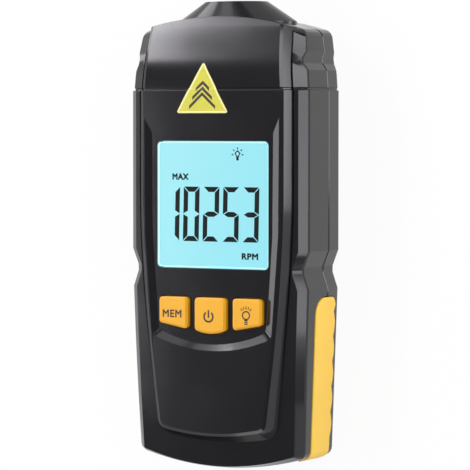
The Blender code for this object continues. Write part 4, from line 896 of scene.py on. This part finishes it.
class StageOperator(bpy.types.Operator):
    """Sets the pale floor, the lamps and the camera"""
    bl_idname = "tachometer.stage"
    bl_label = "Stage"

    def execute(self, context):
        self.add_floor()
        self.light_world()
        self.add_lamps()
        self.add_camera()
        bpy.context.scene.view_settings.view_transform = "Standard"
        return {"FINISHED"}

    def add_floor(self):
        """A round floor that turns up into a wall, and shows white while it keeps its shadows."""
        drop, shown_share = 0.00002, 0.93
        form = bmesh.new()
        profile = ((0.0, 0.0), (2.3, 0.0), (2.55, 0.05), (2.75, 0.2), (2.85, 0.5), (2.88, 1.6))
        verts = [form.verts.new((x, 0.0, z - drop)) for x, z in profile]
        edges = [form.edges.new(pair) for pair in zip(verts, verts[1:])]
        bmesh.ops.spin(form, geom=verts + edges, cent=(0, 0, 0), axis=(0, 0, 1),
                       angle=math.tau, steps=64, use_merge=True)
        bmesh.ops.remove_doubles(form, verts=form.verts, dist=1e-5)
        bmesh.ops.recalc_face_normals(form, faces=form.faces)
        for face in form.faces:
            face.smooth = True
        finish = Finish("white sweep")
        rays = finish.node("LightPath", output="Is Camera Ray").socket.node.outputs
        seen = (Field(finish, rays["Is Camera Ray"]) + Field(finish, rays["Is Glossy Ray"])
                + Field(finish, rays["Is Transmission Ray"])).limited()
        plain = finish.node("BsdfDiffuse", None, {"Color": (0.85, 0.85, 0.85, 1.0)})
        shown = finish.node("Emission", None, {"Color": (1.0, 1.0, 1.0, 1.0), "Strength": 1.0})
        both = finish.node("MixShader", None, {0: seen * shown_share, 1: plain, 2: shown})
        mesh = bpy.data.meshes.new("sweep")
        form.to_mesh(mesh)
        form.free()
        mesh.materials.append(finish.output(both))
        floor = bpy.data.objects.new("sweep", mesh)
        bpy.context.scene.collection.objects.link(floor)

    def light_world(self):
        """A dim, even light from all around."""
        world = bpy.data.worlds.new("dim room")
        world.use_nodes = True
        background = world.node_tree.nodes["Background"]
        background.inputs["Color"].default_value = (0.97, 0.98, 1.0, 1.0)
        background.inputs["Strength"].default_value = 0.165
        bpy.context.scene.world = world

    def add_lamps(self):
        """Lamps whose edges are placed so that each sloped face mirrors the light or dark it shows.

        Each row has a name, the directions of the two ends of one edge, how far the edge is from
        the origin, how deep the lamp reaches behind that edge, its brightness and its colour.
        """
        cool, plain = (0.97, 0.95, 1.0), (1.0, 0.99, 0.99)
        lamps = (
            ("head softbox", (-0.500, 0.265, 0.82), (-0.485, 0.560, 0.67), 3.0, 0.24, 21.0, cool),
            ("arc left card", (-0.17, 0.34, 0.93), (-0.17, 0.58, 0.80), 1.2, 0.27, 1.6, cool),
            ("arc middle card", (-0.60, 0.54, 0.59), (-0.40, 0.545, 0.735), 1.2, 0.50, 2.1, cool),
            ("arc right card", (-0.56, 0.36, 0.75), (-0.55, 0.53, 0.65), 1.2, 0.22, 2.8, cool),
            ("left veil", (-0.530, -0.20, 0.84), (-0.530, 0.12, 0.84), 1.2, 0.40, 6.5, cool),
            ("left wall", (-0.93, 0.25, 0.27), (-0.86, -0.50, 0.27), 1.2, 0.30, 2.4, cool),
            ("left low", (-0.30, 0.95, 0.01), (-0.96, 0.26, 0.01), 1.2, 0.40, 4.0, cool),
            ("right key", (0.832, -0.14, 0.43), (0.70, 0.52, 0.53), 1.2, 0.45, 4.0, cool),
            ("right head card", (0.60, 0.12, 0.79), (0.54, 0.54, 0.64), 1.2, 0.32, 4.8, cool),
            ("right card", (0.20, 0.0, 0.001), (0.18, 0.14, 0.001), 0.2, 0.05, 5.2, cool),
            ("tail fill", (0.30, -0.62, 0.70), (-0.40, -0.62, 0.70), 1.2, 0.55, 2.6, plain),
        )
        for lamp in lamps:
            self.add_lamp(*lamp)

    def add_lamp(self, name, start, end, distance, depth, brightness, colour):
        """An area lamp that faces the object, with one edge between two directions."""
        start, end = Vector(start).normalized() * distance, Vector(end).normalized() * distance
        along = (end - start).normalized()
        towards = ((start + end) / 2).normalized()
        away = towards.cross(along).normalized()
        away = (away - along * away.dot(along)).normalized()
        facing = along.cross(away)
        if facing.dot(towards) < 0:
            facing = -facing
        light = bpy.data.lights.new(name, "AREA")
        light.shape = "RECTANGLE"
        light.size = (end - start).length
        light.size_y = depth
        light.energy = brightness * math.pi * light.size * light.size_y
        light.color = colour
        lamp = bpy.data.objects.new(name, light)
        axes = Matrix((along, facing.cross(along), facing)).transposed()
        lamp.matrix_world = Matrix.Translation((start + end) / 2 + away * depth / 2) @ axes.to_4x4()
        lamp.visible_camera = False
        bpy.context.scene.collection.objects.link(lamp)

    def add_camera(self):
        """The photograph's viewpoint, found by fitting a camera to the housing's corners."""
        azimuth, elevation, distance = math.radians(29.03), math.radians(2.31), 0.790
        focal_pixels, left_pixels, picture_width = 2831.0, 23.0, 470.0
        target = Vector((0.0, 0.00025, 0.028))
        back = Vector((math.sin(azimuth) * math.cos(elevation), math.sin(elevation),
                       math.cos(azimuth) * math.cos(elevation)))
        side = Vector((0, 1, 0)).cross(back).normalized()
        up = back.cross(side)
        turn = Matrix.Rotation(-math.atan(left_pixels / focal_pixels), 3, up)
        axes = Matrix((turn @ side, up, turn @ back)).transposed()
        data = bpy.data.cameras.new("photograph")
        data.sensor_width = 36.0
        data.lens = focal_pixels / picture_width * data.sensor_width
        data.clip_end = 20.0
        camera = bpy.data.objects.new("photograph", data)
        camera.matrix_world = Matrix.Translation(target + back * distance) @ axes.to_4x4()
        bpy.context.scene.collection.objects.link(camera)
        bpy.context.scene.camera = camera


OPERATORS = (
    HousingOperator, GripsOperator, KeysOperator, DisplayOperator, AimMarkOperator,
    OpticsOperator, BoardOperator, BatteryOperator, ScrewsOperator, StageOperator,
)


class TachometerPanel(bpy.types.Panel):
    """Lists the tachometer's settings and steps"""
    bl_idname = "VIEW3D_PT_tachometer"
    bl_label = "Tachometer"
    bl_space_type = "VIEW_3D"
    bl_region_type = "UI"
    bl_category = "Tachometer"

    def draw(self, context):
        for name in TachometerSettings.__annotations__:
            self.layout.prop(context.scene.tachometer, name)
        for operator in OPERATORS:
            self.layout.operator(operator.bl_idname)


CLASSES = (TachometerSettings, *OPERATORS, TachometerPanel)


def register():
    for item in CLASSES:
        bpy.utils.register_class(item)
    bpy.types.Scene.tachometer = bpy.props.PointerProperty(type=TachometerSettings)


def unregister():
    del bpy.types.Scene.tachometer
    for item in reversed(CLASSES):
        bpy.utils.unregister_class(item)


def main():
    """Dresses the whole tachometer."""
    register()
    for operator in OPERATORS:
        group, name = operator.bl_idname.split(".")
        getattr(getattr(bpy.ops, group), name)()


if __name__ == "__main__":
    main()
